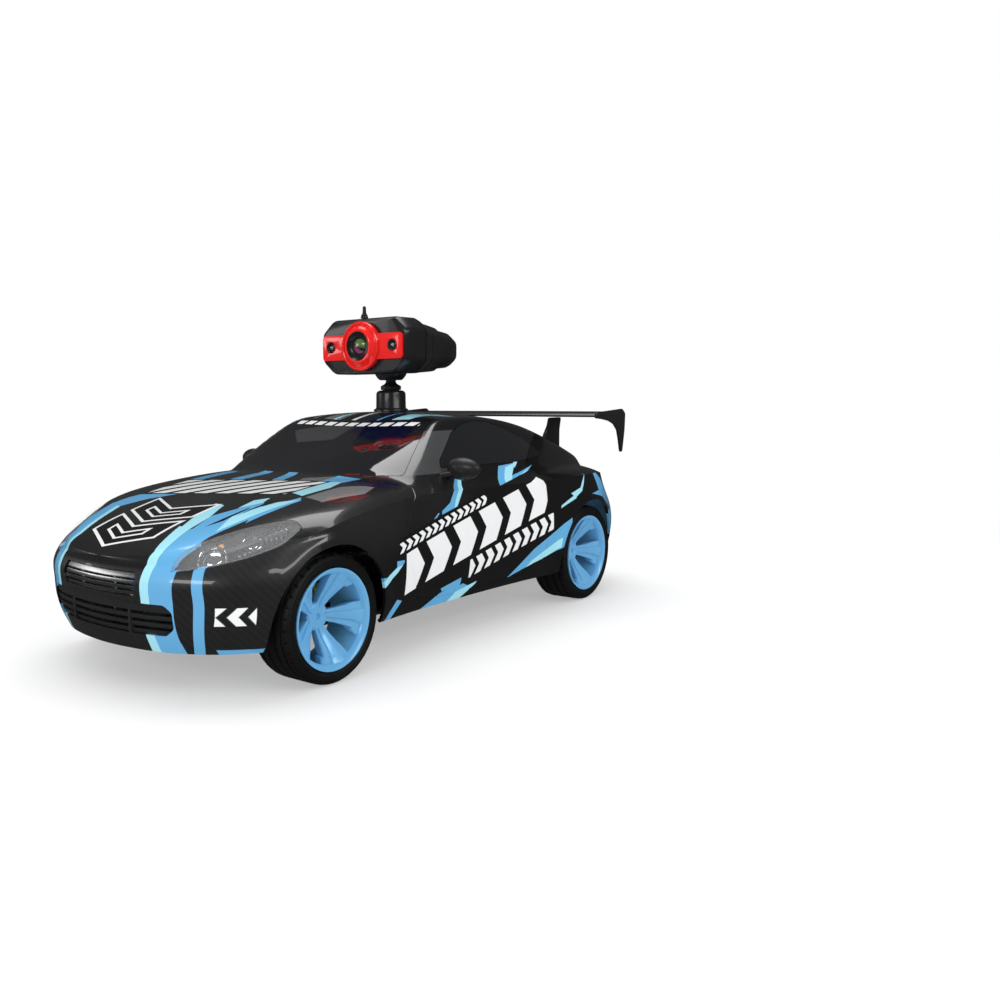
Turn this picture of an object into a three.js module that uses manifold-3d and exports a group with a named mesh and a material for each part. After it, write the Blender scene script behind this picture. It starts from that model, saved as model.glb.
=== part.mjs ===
// Remote control car: a one-tenth scale coupe with a camera on a ball mount, built as a toy maker would.
// Millimetres. +X is forward, +Y is the car's left, +Z is up. The origin is on the ground at mid length.
import * as THREE from "three";
import { mergeVertices } from "three/addons/utils/BufferGeometryUtils.js";
import Module from "manifold-3d";

const wasm = await Module();
wasm.setup();

// ---------- driving dimensions ----------
const frontAxleX = 137; // front axle line
const wheelbase = 256;
const rearAxleX = frontAxleX - wheelbase;
const tyreRadius = 33;
const tyreWidth = 26;
const rimRadius = 26;
const wheelMidY = 77.5; // middle of each tyre
const axleZ = tyreRadius;
const gap = 0.3; // clearance between pieces that touch
const runGap = 0.3; // clearance round a turning shaft
const standOff = 0.5; // clearance under what stands on the curved shell
const skin = 1.8; // body shell wall
const archRadius = tyreRadius + 5;
const bodyClearance = 22; // lowest edge of the shell
const floorZ = 14.2; // underside of the chassis tub
const floorThick = 2.3;
const floorTop = floorZ + floorThick;
const kingpinY = 63;
const kingpinRadius = 2;
const shaftRadius = 2;
const bumpTravel = 2.5;
const steerArm = 14; // kingpin to tie rod pin
const tiePinRadius = 1.4;
const hornLength = 12;
const podPivot = [rearAxleX + 43, floorTop + 5.5]; // x, z of the rear gearbox hinge
const gearModule = 1.25;
const spurTeeth = 27;
const pinionTeeth = 9;
const motorRadius = 13.8;
const roofZ = 132.5;
const mountX = -14; // camera mount, on the roof


const paint = {
  body: new THREE.MeshStandardMaterial({ color: 0x17181a, roughness: 0.25, metalness: 0.1 }),
  glazing: new THREE.MeshStandardMaterial({ color: 0x0b0c0e, roughness: 0.08, metalness: 0.0 }),
  clear: new THREE.MeshStandardMaterial({ color: 0xdde4e8, roughness: 0.05, transparent: true,
    opacity: 0.35 }),
  chrome: new THREE.MeshStandardMaterial({ color: 0xc8ccd0, roughness: 0.15, metalness: 1.0 }),
  grille: new THREE.MeshStandardMaterial({ color: 0x3a3c3e, roughness: 0.35, metalness: 0.6 }),
  lampRed: new THREE.MeshStandardMaterial({ color: 0x8e1014, roughness: 0.15 }),
  trim: new THREE.MeshStandardMaterial({ color: 0x101113, roughness: 0.45 }),
  wing: new THREE.MeshStandardMaterial({ color: 0x0e0f10, roughness: 0.35 }),
  cameraBlack: new THREE.MeshStandardMaterial({ color: 0x141516, roughness: 0.4 }),
  cameraRed: new THREE.MeshStandardMaterial({ color: 0xe8120c, roughness: 0.25 }),
  lens: new THREE.MeshStandardMaterial({ color: 0x05070a, roughness: 0.03 }),
  chassis: new THREE.MeshStandardMaterial({ color: 0x1c1d1f, roughness: 0.6 }),
  battery: new THREE.MeshStandardMaterial({ color: 0x2456a8, roughness: 0.5 }),
  board: new THREE.MeshStandardMaterial({ color: 0x11683a, roughness: 0.5 }),
  steel: new THREE.MeshStandardMaterial({ color: 0x9a9da0, roughness: 0.3, metalness: 1.0 }),
  lime: new THREE.MeshStandardMaterial({ color: 0xb7d11c, roughness: 0.45 }),
  nylon: new THREE.MeshStandardMaterial({ color: 0xd8d4c6, roughness: 0.5 }),
  rim: new THREE.MeshStandardMaterial({ color: 0x6bb6e6, roughness: 0.35 }),
  tyre: new THREE.MeshStandardMaterial({ color: 0x121212, roughness: 0.85 }),
};

// ---------- solids ----------
function solid(geometry) {
  const bare = geometry.index ? geometry.toNonIndexed() : geometry.clone();
  bare.deleteAttribute("normal");
  bare.deleteAttribute("uv");
  const merged = mergeVertices(bare, 1e-4);
  const whole = [];
  const index = merged.index.array;
  for (let i = 0; i < index.length; i += 3) {
    const [a, b, c] = [index[i], index[i + 1], index[i + 2]];
    if (a !== b && b !== c && a !== c) whole.push(a, b, c);
  }
  const build = (triangles) =>
    new wasm.Manifold(
      new wasm.Mesh({
        numProp: 3,
        vertProperties: new Float32Array(merged.attributes.position.array),
        triVerts: new Uint32Array(triangles),
      }),
    );
  const made = build(whole);
  return made.volume() < 0 ? build(whole.reverse()) : made; // faces always point out
}

function geometryOf(shape) {
  const made = shape.getMesh();
  const stride = made.numProp;
  const position = new Float32Array(made.numVert * 3);
  for (let i = 0; i < made.numVert; i++) {
    position.set(made.vertProperties.subarray(i * stride, i * stride + 3), i * 3);
  }
  const geometry = new THREE.BufferGeometry();
  geometry.setAttribute("position", new THREE.BufferAttribute(position, 3));
  geometry.setIndex(new THREE.BufferAttribute(new Uint32Array(made.triVerts), 1));
  geometry.computeVertexNormals();
  return geometry;
}

const moved = (geometry, x, y, z) => geometry.translate(x, y, z);

function block(x0, x1, y0, y1, z0, z1) {
  const box = new THREE.BoxGeometry(x1 - x0, y1 - y0, z1 - z0);
  return solid(moved(box, (x0 + x1) / 2, (y0 + y1) / 2, (z0 + z1) / 2));
}

// A cylinder along an axis, from one coordinate to another on it, centred on the other two coordinates.
function rod(axis, radius, from, to, a, b, sides = 16, farRadius = radius) {
  const cylinder = new THREE.CylinderGeometry(farRadius, radius, to - from, sides);
  const mid = (from + to) / 2;
  if (axis === "y") return solid(moved(cylinder, a, mid, b));
  if (axis === "z") return solid(moved(cylinder.rotateX(Math.PI / 2), a, b, mid));
  return solid(moved(cylinder.rotateZ(-Math.PI / 2), mid, a, b));
}

// A flat outline pushed through along an axis: "y" takes x,z points, "z" takes x,y points, "x" takes y,z points.
function prism(axis, points, from, to) {
  const outline = new THREE.Shape(points.map((p) => new THREE.Vector2(p[0], p[1])));
  const geometry = new THREE.ExtrudeGeometry(outline, { depth: to - from, bevelEnabled: false,
    curveSegments: 8 });
  if (axis === "z") return solid(geometry.translate(0, 0, from));
  if (axis === "y") return solid(geometry.rotateX(Math.PI / 2).translate(0, to, 0));
  const turned = geometry.applyMatrix4(new THREE.Matrix4().set(0, 0, 1, 0, 1, 0, 0, 0, 0, 1, 0, 0, 0, 0, 0,
    1));
  return solid(turned.translate(from, 0, 0));
}

// A closed ring or turned piece about the Y axis, from radius,y pairs that run round the section.
function turned(profile, sides, x = 0, y = 0, z = 0) {
  const points = [...profile, profile[0]].map((p) => new THREE.Vector2(p[0], p[1]));
  return solid(moved(new THREE.LatheGeometry(points, sides), x, y, z));
}

const joined = (shapes) => shapes.reduce((sum, shape) => sum.add(shape));
const cutBy = (shape, tools) => tools.reduce((left, tool) => left.subtract(tool), shape);
const mirrored = (shape) => shape.mirror([0, 1, 0]);

// ---------- smooth lines through hand-set points ----------
function fairLine(knots) {
  const slope = knots.map((knot, i) => {
    const before = knots[Math.max(i - 1, 0)];
    const after = knots[Math.min(i + 1, knots.length - 1)];
    return (after[1] - before[1]) / (after[0] - before[0]);
  });
  return (at) => {
    let i = 0;
    while (i < knots.length - 2 && at > knots[i + 1][0]) i++;
    const [x0, y0] = knots[i];
    const [x1, y1] = knots[i + 1];
    const width = x1 - x0;
    const t = Math.min(1, Math.max(0, (at - x0) / width));
    const t2 = t * t;
    const t3 = t2 * t;
    return (
      (2 * t3 - 3 * t2 + 1) * y0 +
      (t3 - 2 * t2 + t) * width * slope[i] +
      (3 * t2 - 2 * t3) * y1 +
      (t3 - t2) * width * slope[i + 1]
    );
  };
}

const mix = (a, b, t) => a + (b - a) * t;
const ramp = (from, to, at) => {
  const t = Math.min(1, Math.max(0, (at - from) / (to - from)));
  return t * t * (3 - 2 * t);
};
const softMin = (a, b, k) => {
  const h = Math.max(k - Math.abs(a - b), 0) / k;
  return Math.min(a, b) - (h * h * k) / 4;
};
const softMax = (a, b, k) => -softMin(-a, -b, k);

// ---------- the coupe body's surface ----------
const noseX = 214.6;
const tailX = -214;
// Plan view of the widest line, x and half width, from the middle of the nose to the middle of the tail.
const planPoints = [
  [noseX, 0], [noseX - 1.4, 20], [noseX - 4.6, 38], [noseX - 9.6, 52], [noseX - 17.6, 66], [noseX - 27.1, 77],
  [noseX - 40.6, 86.5], [noseX - 56.6, 92], [137, 94.5],
  [105, 92], [60, 88.5], [10, 88], [-40, 89.5], [-85, 93], [-119, 94.5], [-150, 89.5], [-175, 79.5],
  [-193, 66.5], [-205, 50], [-211.5, 28], [tailX, 0],
];

function planLine() {
  const first = planPoints[1];
  const last = planPoints[planPoints.length - 2];
  const points = [[first[0], -first[1]], ...planPoints, [last[0], -last[1]]];
  const along = [0];
  for (let i = 1; i < points.length; i++) {
    along.push(along[i - 1] + Math.hypot(points[i][0] - points[i - 1][0], points[i][1] - points[i - 1][1]));
  }
  const start = along[1];
  const length = along[along.length - 2] - start;
  const x = fairLine(points.map((p, i) => [along[i], p[0]]));
  const halfWidth = fairLine(points.map((p, i) => [along[i], p[1]]));
  return (s) => [x(start + s * length), Math.max(0, halfWidth(start + s * length))];
}
const plan = planLine();

const noseSetback = fairLine([[18, 7], [24, 4.6], [31, 2.2], [38, 0.9], [47, 0.4], [56, 0], [62, 2.5], [66,
  6], [70, 10], [76, 16]]);
const tailSetback = fairLine([[18, 12], [26, 6], [36, 1.5], [47, 0], [58, 2.5], [66, 8], [74, 17], [82, 27],
  [88, 33], [94, 36]]);
const shoulderZ = fairLine([
  [tailX, 84], [-190, 84], [-170, 86], [-150, 87.5], [-119, 88.5], [-85, 87.5], [-40, 87.5], [20, 88.5],
    [60, 88.5],
  [100, 86], [137, 81], [160, 76.5], [180, 72], [noseX - 14.6, 66.5], [noseX, 64],
]);
const deckCentre = fairLine([
  [tailX, 90], [-182, 92.5], [-150, 94], [-119, 95.5], [-60, 97], [0, 98.5], [60, 98.5], [80, 97.5], [110,
    94], [130, 91],
  [150, 87], [170, 82], [185, 77.5], [noseX - 14.6, 71.5], [noseX - 5.6, 67], [noseX, 64.5],
]);
const deckCrown = fairLine([[tailX, 1], [-119, 3], [0, 2], [60, 2.5], [110, 0.5], [150, 0.5], [185, 2.5],
  [noseX, 1]]);
const roofLine = fairLine([
  [-198, 88], [-175, 98], [-150, 105], [-119, 115], [-85, roofZ - 7.7], [-50, roofZ - 1.7], [-15, roofZ],
  [20, roofZ - 0.5], [60, roofZ - 3.5], [90, roofZ - 9.5],
]);
const cabinHalf = fairLine([
  [-190, 46], [-150, 59.5], [-119, 67.5], [-90, 73], [-60, 77.5], [-20, 80.8], [20, 82], [60, 79], [85, 74],
]);
const beltZ = 97;
const cabinSlope = 1.45;
const screenBase = { x: 80, z: 97, sweep: 15, drop: 2, halfWidth: 72.6 };

function cabinZ(x, y) {
  const side = beltZ + (cabinHalf(x) - Math.abs(y)) * cabinSlope;
  const across = (y / screenBase.halfWidth) ** 2;
  const slope = 0.479 + 0.19 * across;
  const screen = screenBase.z - screenBase.drop * across + (screenBase.x - screenBase.sweep * across - x) * slope;
  const roof = roofLine(x) - 3.2 * (y / 55) ** 2;
  return softMin(softMin(roof, screen, 5), side, 3);
}
const deckZ = (x, y) => deckCentre(x) - deckCrown(x) * (y / 80) ** 2;
const topZ = (x, y) => softMax(deckZ(x, y), cabinZ(x, y), 3);

// One point of the skin: s runs 0..1 from nose to tail, up 0..1 climbs the side and 1..2 crosses to the centre line.
function skinPoint(s, up) {
  const [x0, w] = plan(s);
  const nose = ramp(120, 200, x0);
  const tail = ramp(-125, -200, x0);
  const bottom = bodyClearance + 2 * ramp(200, 120, x0) + 2 * ramp(-120, -200, x0);
  const shoulder = shoulderZ(x0);
  const climb = Math.min(up, 1);
  const z = mix(bottom, shoulder, climb);
  const sillTuck = mix(0.05, 0.075, nose);
  const tuck = sillTuck * Math.max(0, 1 - climb / 0.5) ** 2 + 0.03 * Math.max(0, (climb - 0.5) / 0.5) ** 2;
  const x = x0 - nose * noseSetback(z) + tail * tailSetback(z);
  const edge = w * (1 - tuck);
  if (up <= 1) return [x, edge, z];
  const share = 2 - up; // 1 at the shoulder, 0 on the centre line
  const y = edge * share;
  const drop = topZ(x, edge) - shoulder;
  return [x, y, topZ(x, y) - drop * share ** 9];
}

// The skin as a closed solid, pushed in by a depth, with its open underside closed flat at a height.
function skinSolid(depth, stations, sideSteps, topSteps, bottomZ) {
  const rows = [];
  for (let j = 0; j <= sideSteps; j++) rows.push(j / sideSteps);
  for (let j = 1; j <= topSteps; j++) rows.push(1 + 1 - (1 - j / topSteps) ** 1.15);
  const inward = (s, up, step = 2e-3) => {
    const at = skinPoint(s, up);
    if (!depth) return at;
    const s0 = Math.max(0, s - step);
    const s1 = Math.min(1, s + step);
    const u0 = Math.max(0, up - 0.02);
    const u1 = Math.min(2, up + 0.02);
    const a = new THREE.Vector3(...skinPoint(s1, up)).sub(new THREE.Vector3(...skinPoint(s0, up)));
    const b = new THREE.Vector3(...skinPoint(s, u1)).sub(new THREE.Vector3(...skinPoint(s, u0)));
    const normal = b.cross(a).normalize();
    if (s < 1e-6 || s > 1 - 1e-6 || up > 2 - 1e-6) normal.y = 0;
    normal.normalize();
    return [at[0] + normal.x * depth, Math.max(0, at[1] + normal.y * depth), at[2] + normal.z * depth];
  };
  const points = [];
  for (let i = 0; i <= stations; i++) {
    const half = rows.map((up) => inward(i / stations, up));
    if (bottomZ !== undefined) half.unshift([half[0][0], half[0][1], bottomZ]); // a straight skirt below
    if (i === 0 || i === stations) half.forEach((p) => (p[1] = 0));
    half[half.length - 1][1] = 0;
    const left = half.slice(0, -1).reverse().map((p) => [p[0], -p[1], p[2]]);
    points.push([...half, ...left]);
  }
  const corners = [];
  const across = points[0].length;
  const quad = (a, b, c, d) => corners.push(...a, ...c, ...b, ...a, ...d, ...c);
  for (let i = 0; i < stations; i++) {
    for (let j = 0; j < across; j++) {
      const k = (j + 1) % across; // the last strip closes the underside
      quad(points[i][j], points[i][k], points[i + 1][k], points[i + 1][j]);
    }
  }
  const geometry = new THREE.BufferGeometry();
  geometry.setAttribute("position", new THREE.BufferAttribute(new Float32Array(corners), 3));
  const made = solid(geometry);
  return made;
}

// A solid drawn between matching rings of points, closed at both ends; each ring is convex.
function loft(rings) {
  const corners = [];
  const count = rings[0].length;
  const centre = (ring) => [0, 1, 2].map((k) => ring.reduce((sum, p) => sum + p[k], 0) / count);
  const cap = (ring, flip) => {
    const middle = centre(ring);
    for (let j = 0; j < count; j++) {
      const [a, b] = [ring[j], ring[(j + 1) % count]];
      corners.push(...middle, ...(flip ? a : b), ...(flip ? b : a));
    }
  };
  for (let i = 0; i < rings.length - 1; i++) {
    for (let j = 0; j < count; j++) {
      const k = (j + 1) % count;
      corners.push(...rings[i][j], ...rings[i][k], ...rings[i + 1][k]);
      corners.push(...rings[i][j], ...rings[i + 1][k], ...rings[i + 1][j]);
    }
  }
  cap(rings[0], false);
  cap(rings[rings.length - 1], true);
  const geometry = new THREE.BufferGeometry();
  geometry.setAttribute("position", new THREE.BufferAttribute(new Float32Array(corners), 3));
  return solid(geometry);
}

// ---------- the assembly: every piece is one named mesh ----------
const car = new THREE.Group();
function place(name, shape, material) {
  const mesh = new THREE.Mesh(geometryOf(shape), material);
  mesh.name = name;
  car.add(mesh);
}
function placePair(name, left, material) {
  place(`${name}_left`, left, material);
  place(`${name}_right`, mirrored(left), material);
}

// ---------- coupe shell, glass and lamps ----------
const outer = skinSolid(0, 34, 5, 7);
const inner = skinSolid(skin, 24, 4, 6, bodyClearance - 8);
const cleared = skinSolid(-standOff, 34, 5, 7, bodyClearance - 8); // what stands on the shell stops here
const backed = skinSolid(skin + gap, 24, 4, 6, floorZ - 5); // what stands under the shell stops here
const wall = outer.subtract(inner);

// Outline pulled in towards its own middle, so that a pane sits in its opening with a gap all round.
function shrunk(points, by) {
  const area = points.reduce((sum, p, i) => {
    const q = points[(i + 1) % points.length];
    return sum + p[0] * q[1] - q[0] * p[1];
  }, 0);
  const turn = Math.sign(area);
  return points.map((p, i) => {
    const a = points[(i + points.length - 1) % points.length];
    const b = points[(i + 1) % points.length];
    const along = [p, b].map((end, k) => {
      const start = k ? p : a;
      const length = Math.hypot(end[0] - start[0], end[1] - start[1]);
      return [(end[0] - start[0]) / length, (end[1] - start[1]) / length];
    });
    const inwards = along.map(([u, v]) => [-v * turn, u * turn]);
    const scale = 1 + inwards[0][0] * inwards[1][0] + inwards[0][1] * inwards[1][1];
    const dx = (inwards[0][0] + inwards[1][0]) / scale;
    const dy = (inwards[0][1] + inwards[1][1]) / scale;
    return [p[0] + dx * by, p[1] + dy * by];
  });
}
const bothSides = (points) => [...points, ...points.slice().reverse().map((p) => [p[0], -p[1]])];
const acrossNose = (points) => [...points, ...points.slice().reverse().map((p) => [-p[0], p[1]])];

const glassTop = roofZ + 7.5; // the cutters for the glass end above the roof
const screenOutline = bothSides([[16, 18], [14.5, 40], [13, 55], [59.5, 71], [68, 56], [74.5, 38], [78.5,
  18]]);
const rearGlassOutline = bothSides([[-148, 20], [-146, 36], [-84, 47], [-78, 40], [-75, 18]]);
const sideGlassOutline = [
  [33, 101], [31, 105.5], [8, 120.5], [-8, 125.5], [-20, 127], [-37, 126], [-56, 121.5], [-72, 115],
  [-86, 108], [-88.5, 104], [-85, 101.5], [-50, 100],
];
const headlightPlan = [[201, 47], [187, 52], [171, 61], [153, 75], [151, 79], [155, 100], [205, 100], [212,
  52]];
const headlightSide = [[215, 60], [198, 63], [178, 68.5], [165, 73], [152, 80], [140, 100], [215, 100]];
const tailLampOutline = [[47, 69], [50, 80], [66, 82.5], [90, 83], [90, 72], [70, 67]];
const upperGrilleOutline = acrossNose([[29, 49.5], [31.5, 55], [29, 61]]);
const lowerGrilleOutline = acrossNose([[45, 31], [50, 35], [50, 43], [46, 46.5]]);

// The lamp volume at the left front corner: its plan outline and its side outline together.
const lampVolume = (by) =>
  prism("z", shrunk(headlightPlan, by), 55, 105).intersect(prism("y", shrunk(headlightSide, by), 30, 110));

function addShell() {
  const arches = [frontAxleX, rearAxleX].flatMap((x) =>
    [[40, 112], [-112, -40]].map(([a, b]) => rod("y", archRadius, a, b, x, axleZ, 28)),
  );
  const lamp = lampVolume(0);
  const tail = prism("x", tailLampOutline, -222, -160);
  const side = prism("y", sideGlassOutline, 45, 100);
  place(
    "body_shell",
    cutBy(wall, [
      ...arches,
      prism("z", screenOutline, 85, glassTop),
      prism("z", rearGlassOutline, 85, glassTop),
      side, mirrored(side), lamp, mirrored(lamp), tail, mirrored(tail),
      prism("x", upperGrilleOutline, 185, 222),
      prism("x", lowerGrilleOutline, 185, 222),
    ]),
    paint.body,
  );
}

function addGlass() {
  place("windscreen", wall.intersect(prism("z", shrunk(screenOutline, gap), 85, glassTop)), paint.glazing);
  place("rear_glass", wall.intersect(prism("z", shrunk(rearGlassOutline, gap), 85, glassTop)), paint.glazing);
  placePair("side_glass", wall.intersect(prism("y", shrunk(sideGlassOutline, gap), 45, 100)), paint.glazing);
}

const reflectorDepth = 7;
function addLamps() {
  const behind = skinSolid(reflectorDepth, 24, 4, 6, 50);
  const pocket = skinSolid(skin + 1.2, 24, 4, 6, 50).subtract(behind);
  placePair("headlight_lens", wall.intersect(lampVolume(gap)), paint.clear);
  placePair("headlight_reflector", pocket.intersect(lampVolume(1.5)), paint.chrome);
  placePair("tail_lamp", wall.intersect(prism("x", shrunk(tailLampOutline, gap), -222, -160)), paint.lampRed);
}

// A grille is a slice of the nose cut into level bars, held by upright ribs behind them.
function grille(outline, barCount, barShare, ribs) {
  const zs = outline.map((p) => p[1]);
  const low = Math.min(...zs) + gap;
  const pitch = (Math.max(...zs) - gap - low) / barCount;
  const halfWidth = Math.max(...outline.map((p) => p[0]));
  const opening = prism("x", shrunk(outline, gap), 170, 222);
  const slice = skinSolid(0.4, 24, 2, 4).subtract(skinSolid(3.4, 24, 2, 4, 20)).intersect(opening);
  const ribSlice = skinSolid(2.2, 24, 2, 4, 20).subtract(skinSolid(4.4, 24, 2, 4, 20)).intersect(opening);
  const bars = [...Array(barCount).keys()].map((i) =>
    block(170, 222, -halfWidth, halfWidth, low + pitch * i, low + pitch * (i + barShare)),
  );
  const uprights = ribs.map((y) => block(170, 222, y - 1, y + 1, low,
    low + pitch * (barCount - 1 + barShare)));
  return joined([slice.intersect(joined(bars)), ribSlice.intersect(joined(uprights))]);
}
function addGrilles() {
  place("upper_grille", grille(upperGrilleOutline, 4, 0.68, [-14, 14]), paint.grille);
  place("lower_grille", grille(lowerGrilleOutline, 4, 0.55, [-24, 24]), paint.trim);
}

// ---------- mirrors and rear wing ----------
function addMirrors() {
  const head = solid(new THREE.SphereGeometry(1, 12, 7).scale(5.5, 11, 6.8).rotateZ(0.12).translate(28, 90,
    101));
  const arm = loft([
    [[40, 72, 94.5], [40, 72, 98], [28, 72, 98], [28, 72, 94.5]],
    [[32, 87, 97.5], [32, 87, 101], [25, 87, 101], [25, 87, 97.5]],
  ]);
  placePair("mirror", head.add(arm).subtract(cleared), paint.trim);
}

const wingHalf = 88.4;
const plateThick = 2.2;
const bladeOutline = [
  [-131.5, 127.6], [-134, 129.4], [-145, 129.8], [-158, 129], [-166.5, 130.4], [-166.8, 129.4], [-158,
    127.4], [-145, 127], [-134, 126.6],
];
function addWing() {
  place("wing_blade", prism("y", bladeOutline, -wingHalf, wingHalf), paint.wing);
  const plate = [
    [-126.8, 126], [-127.8, 130.5], [-146.8, 131.5], [-166.3, 132.5], [-170.8, 129], [-170.3, 117],
    [-167.3, 100.5], [-164.8, 100.5], [-159.8, 117], [-154, 121.5], [-147, 123.8],
  ];
  placePair("wing_endplate", prism("y", plate, wingHalf + gap, wingHalf + gap + plateThick), paint.wing);
  const post = [
    [-128, 98], [-130, 108], [-138, 120], [-140, 126.2], [-155, 126.2], [-152.5, 117], [-153, 98],
  ];
  placePair("wing_stanchion", prism("y", post, 44, 47).subtract(cleared), paint.wing);
}

// ---------- chassis ----------
const kingpinX = frontAxleX;
const keelHalf = 40; // flat bottom
const troughX = [rearAxleX + 49, frontAxleX - 49];
const railHalf = 52;
const noseFloorZ = 20; // the tub kicks up ahead of the front axle
const sideFloor = { y: 79, z: 25.5 }; // outer edge of the tub, inside the sill
const bay = { x0: rearAxleX - 41, x1: rearAxleX + 35, half: 42 };
const batteryBay = { x0: podPivot[0] + 24, x1: troughX[1] - 16, half: 23 };
const braceX = [rearAxleX - 28, rearAxleX - 20];
const braceZ = [axleZ + 15, axleZ + 19];
const earY = [34.5, 39];
const boardX = troughX[0] + 26;
const boardZ = floorTop + 14.5;
const boardPosts = [6, 84].flatMap((x) => [[boardX + x, -66], [boardX + x, -38]]);
const switchAt = { x: troughX[0] + 50, y: 31, travel: 4, stem: [6, 4] };

function addTub() {
  const { y: edgeY, z: edgeZ } = sideFloor;
  const trough = [
    [-edgeY, edgeZ], [-60, 20.5], [-keelHalf, floorZ], [keelHalf, floorZ], [60, 20.5], [edgeY, edgeZ],
    [edgeY, edgeZ + floorThick], [59, 20.5 + floorThick], [keelHalf - 1, floorTop],
    [1 - keelHalf, floorTop], [-59, 20.5 + floorThick], [-edgeY, edgeZ + floorThick],
  ];
  const frontFloor = block(troughX[1] - 4, frontAxleX + 16, -keelHalf, keelHalf, floorZ, floorTop);
  const rampX = frontAxleX + 11;
  const noseEnd = noseX - 22.6;
  const noseRamp = prism("y", [
    [rampX, floorZ], [rampX + 10, noseFloorZ], [noseEnd, noseFloorZ], [noseEnd, noseFloorZ + floorThick],
    [rampX + 9, noseFloorZ + floorThick], [rampX, floorTop],
  ], -keelHalf, keelHalf);
  const rearOutline = bothSides([[rearAxleX + 53, railHalf - 8], [rearAxleX + 39, railHalf], [-186,
    railHalf], [-192, 40]]);
  const rearFloor = prism("z", rearOutline, floorZ, floorTop);
  const rail = block(-184, rearAxleX + 35, railHalf - 2.5, railHalf, floorZ + 1, floorTop + 5.5);
  const bracePost = block(braceX[0], braceX[1], railHalf - 8, railHalf, floorZ + 1, braceZ[1]);
  const [hingeX, hingeZ] = podPivot;
  const ear = prism("y", [
    [hingeX - 7, floorTop - 1], [hingeX + 7, floorTop - 1], [hingeX + 4, hingeZ + 5], [hingeX - 4,
      hingeZ + 5],
  ], earY[0], earY[1]);
  const frontPost = rod("z", 4, noseFloorZ + 1, 95, 178, 30, 12).intersect(backed);
  const rearPost = rod("z", 4, floorTop - 1, 110, -172, 34, 12).intersect(backed);
  const left = [rail, bracePost, ear, frontPost, rearPost];
  const solidTub = joined([
    prism("x", trough, ...troughX), frontFloor, noseRamp, rearFloor,
    ...left,
    ...left.map(mirrored),
    block(braceX[0], braceX[1], -railHalf, railHalf, braceZ[0], braceZ[1]),
    ...boardPosts.map(([x, y]) => rod("z", 2.5, floorTop - 1, boardZ - gap, x, y, 8)),
  ]);
  const { x, y, travel, stem } = switchAt;
  const slotEnd = x + stem[0] / 2 + travel + gap;
  const [z0, z1] = [floorZ - 1, floorTop + 1];
  place(
    "chassis_tub",
    cutBy(solidTub, [
      block(bay.x0, bay.x1, -bay.half, bay.half, z0, z1),
      block(batteryBay.x0, batteryBay.x1, -batteryBay.half, batteryBay.half, z0, z1),
      block(x - stem[0] / 2 - gap, slotEnd, y - stem[1] / 2 - gap, y + stem[1] / 2 + gap, z0, z1),
      rod("y", shaftRadius + runGap, -60, 60, podPivot[0], podPivot[1], 16),
    ]),
    paint.chassis,
  );
}

function addElectrics() {
  const { x0, x1, half } = batteryBay;
  place("battery_cover", block(x0 + gap, x1 - gap, -half + gap, half - gap, floorZ, floorTop), paint.chassis);
  const low = floorTop + 0.5;
  const cell = [[-half + 1, low], [-half + 3, low + 21], [0, low + 23], [half - 3, low + 21], [half - 1,
    low]];
  place("battery_pack", prism("x", cell, x0 + 2, x1 - 2), paint.battery);
  const [u, top] = [boardX + 44, boardZ + 1];
  const chips = [
    block(u - 30, u - 12, -66, -54, top, top + 3), block(u - 6, u + 18, -68, -50, top, top + 2.5),
    block(u + 24, u + 38, -62, -48, top, top + 9), block(u - 34, u - 20, -46, -36, top, top + 6),
    rod("z", 3.5, top, top + 9, u, -40, 12), rod("z", 3.5, top, top + 9, u + 12, -40, 12),
  ];
  place("circuit_board", joined([block(boardX, boardX + 90, -73, -31, boardZ, boardZ + 1.6), ...chips]),
    paint.board);
  const { x, y, stem } = switchAt;
  const knob = joined([
    block(x - stem[0] / 2, x + stem[0] / 2, y - stem[1] / 2, y + stem[1] / 2, floorZ - 1.4, floorTop + 1),
    block(x - 7, x + 7, y - 4, y + 4, floorTop + gap, floorTop + 2),
  ]);
  place("power_switch", knob, paint.trim);
}

// ---------- front end ----------
const armZ = { low: [axleZ - 16, axleZ - 13.5], high: [axleZ + 12.7, axleZ + 15.7] };
const washerZ = [armZ.low[1] + gap, axleZ - 11.6];
const knuckleZ = [washerZ[1] + gap, axleZ + 5];
const springZ = [knuckleZ[1] + gap, armZ.high[0] - gap];
const rodZ = [axleZ + 5, axleZ + 7.5]; // tie rod
const tiePinX = kingpinX - steerArm;

// A coil spring standing on Z, wound from a wire of small section.
function coil(x, y, z0, z1, radius, wire, turns) {
  const height = z1 - z0 - 2 * wire;
  class Helix extends THREE.Curve {
    getPoint(t, target = new THREE.Vector3()) {
      const angle = t * turns * 2 * Math.PI;
      return target.set(x + radius * Math.cos(angle), y + radius * Math.sin(angle), z0 + wire + t * height);
    }
  }
  const section = new THREE.Shape([0, 1, 2,
    3].map((i) => new THREE.Vector2(wire * Math.cos((i * Math.PI) / 2), wire * Math.sin((i * Math.PI) / 2))));
  const settings = { steps: Math.round(turns * 9), extrudePath: new Helix() };
  return solid(new THREE.ExtrudeGeometry(section, settings));
}

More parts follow.
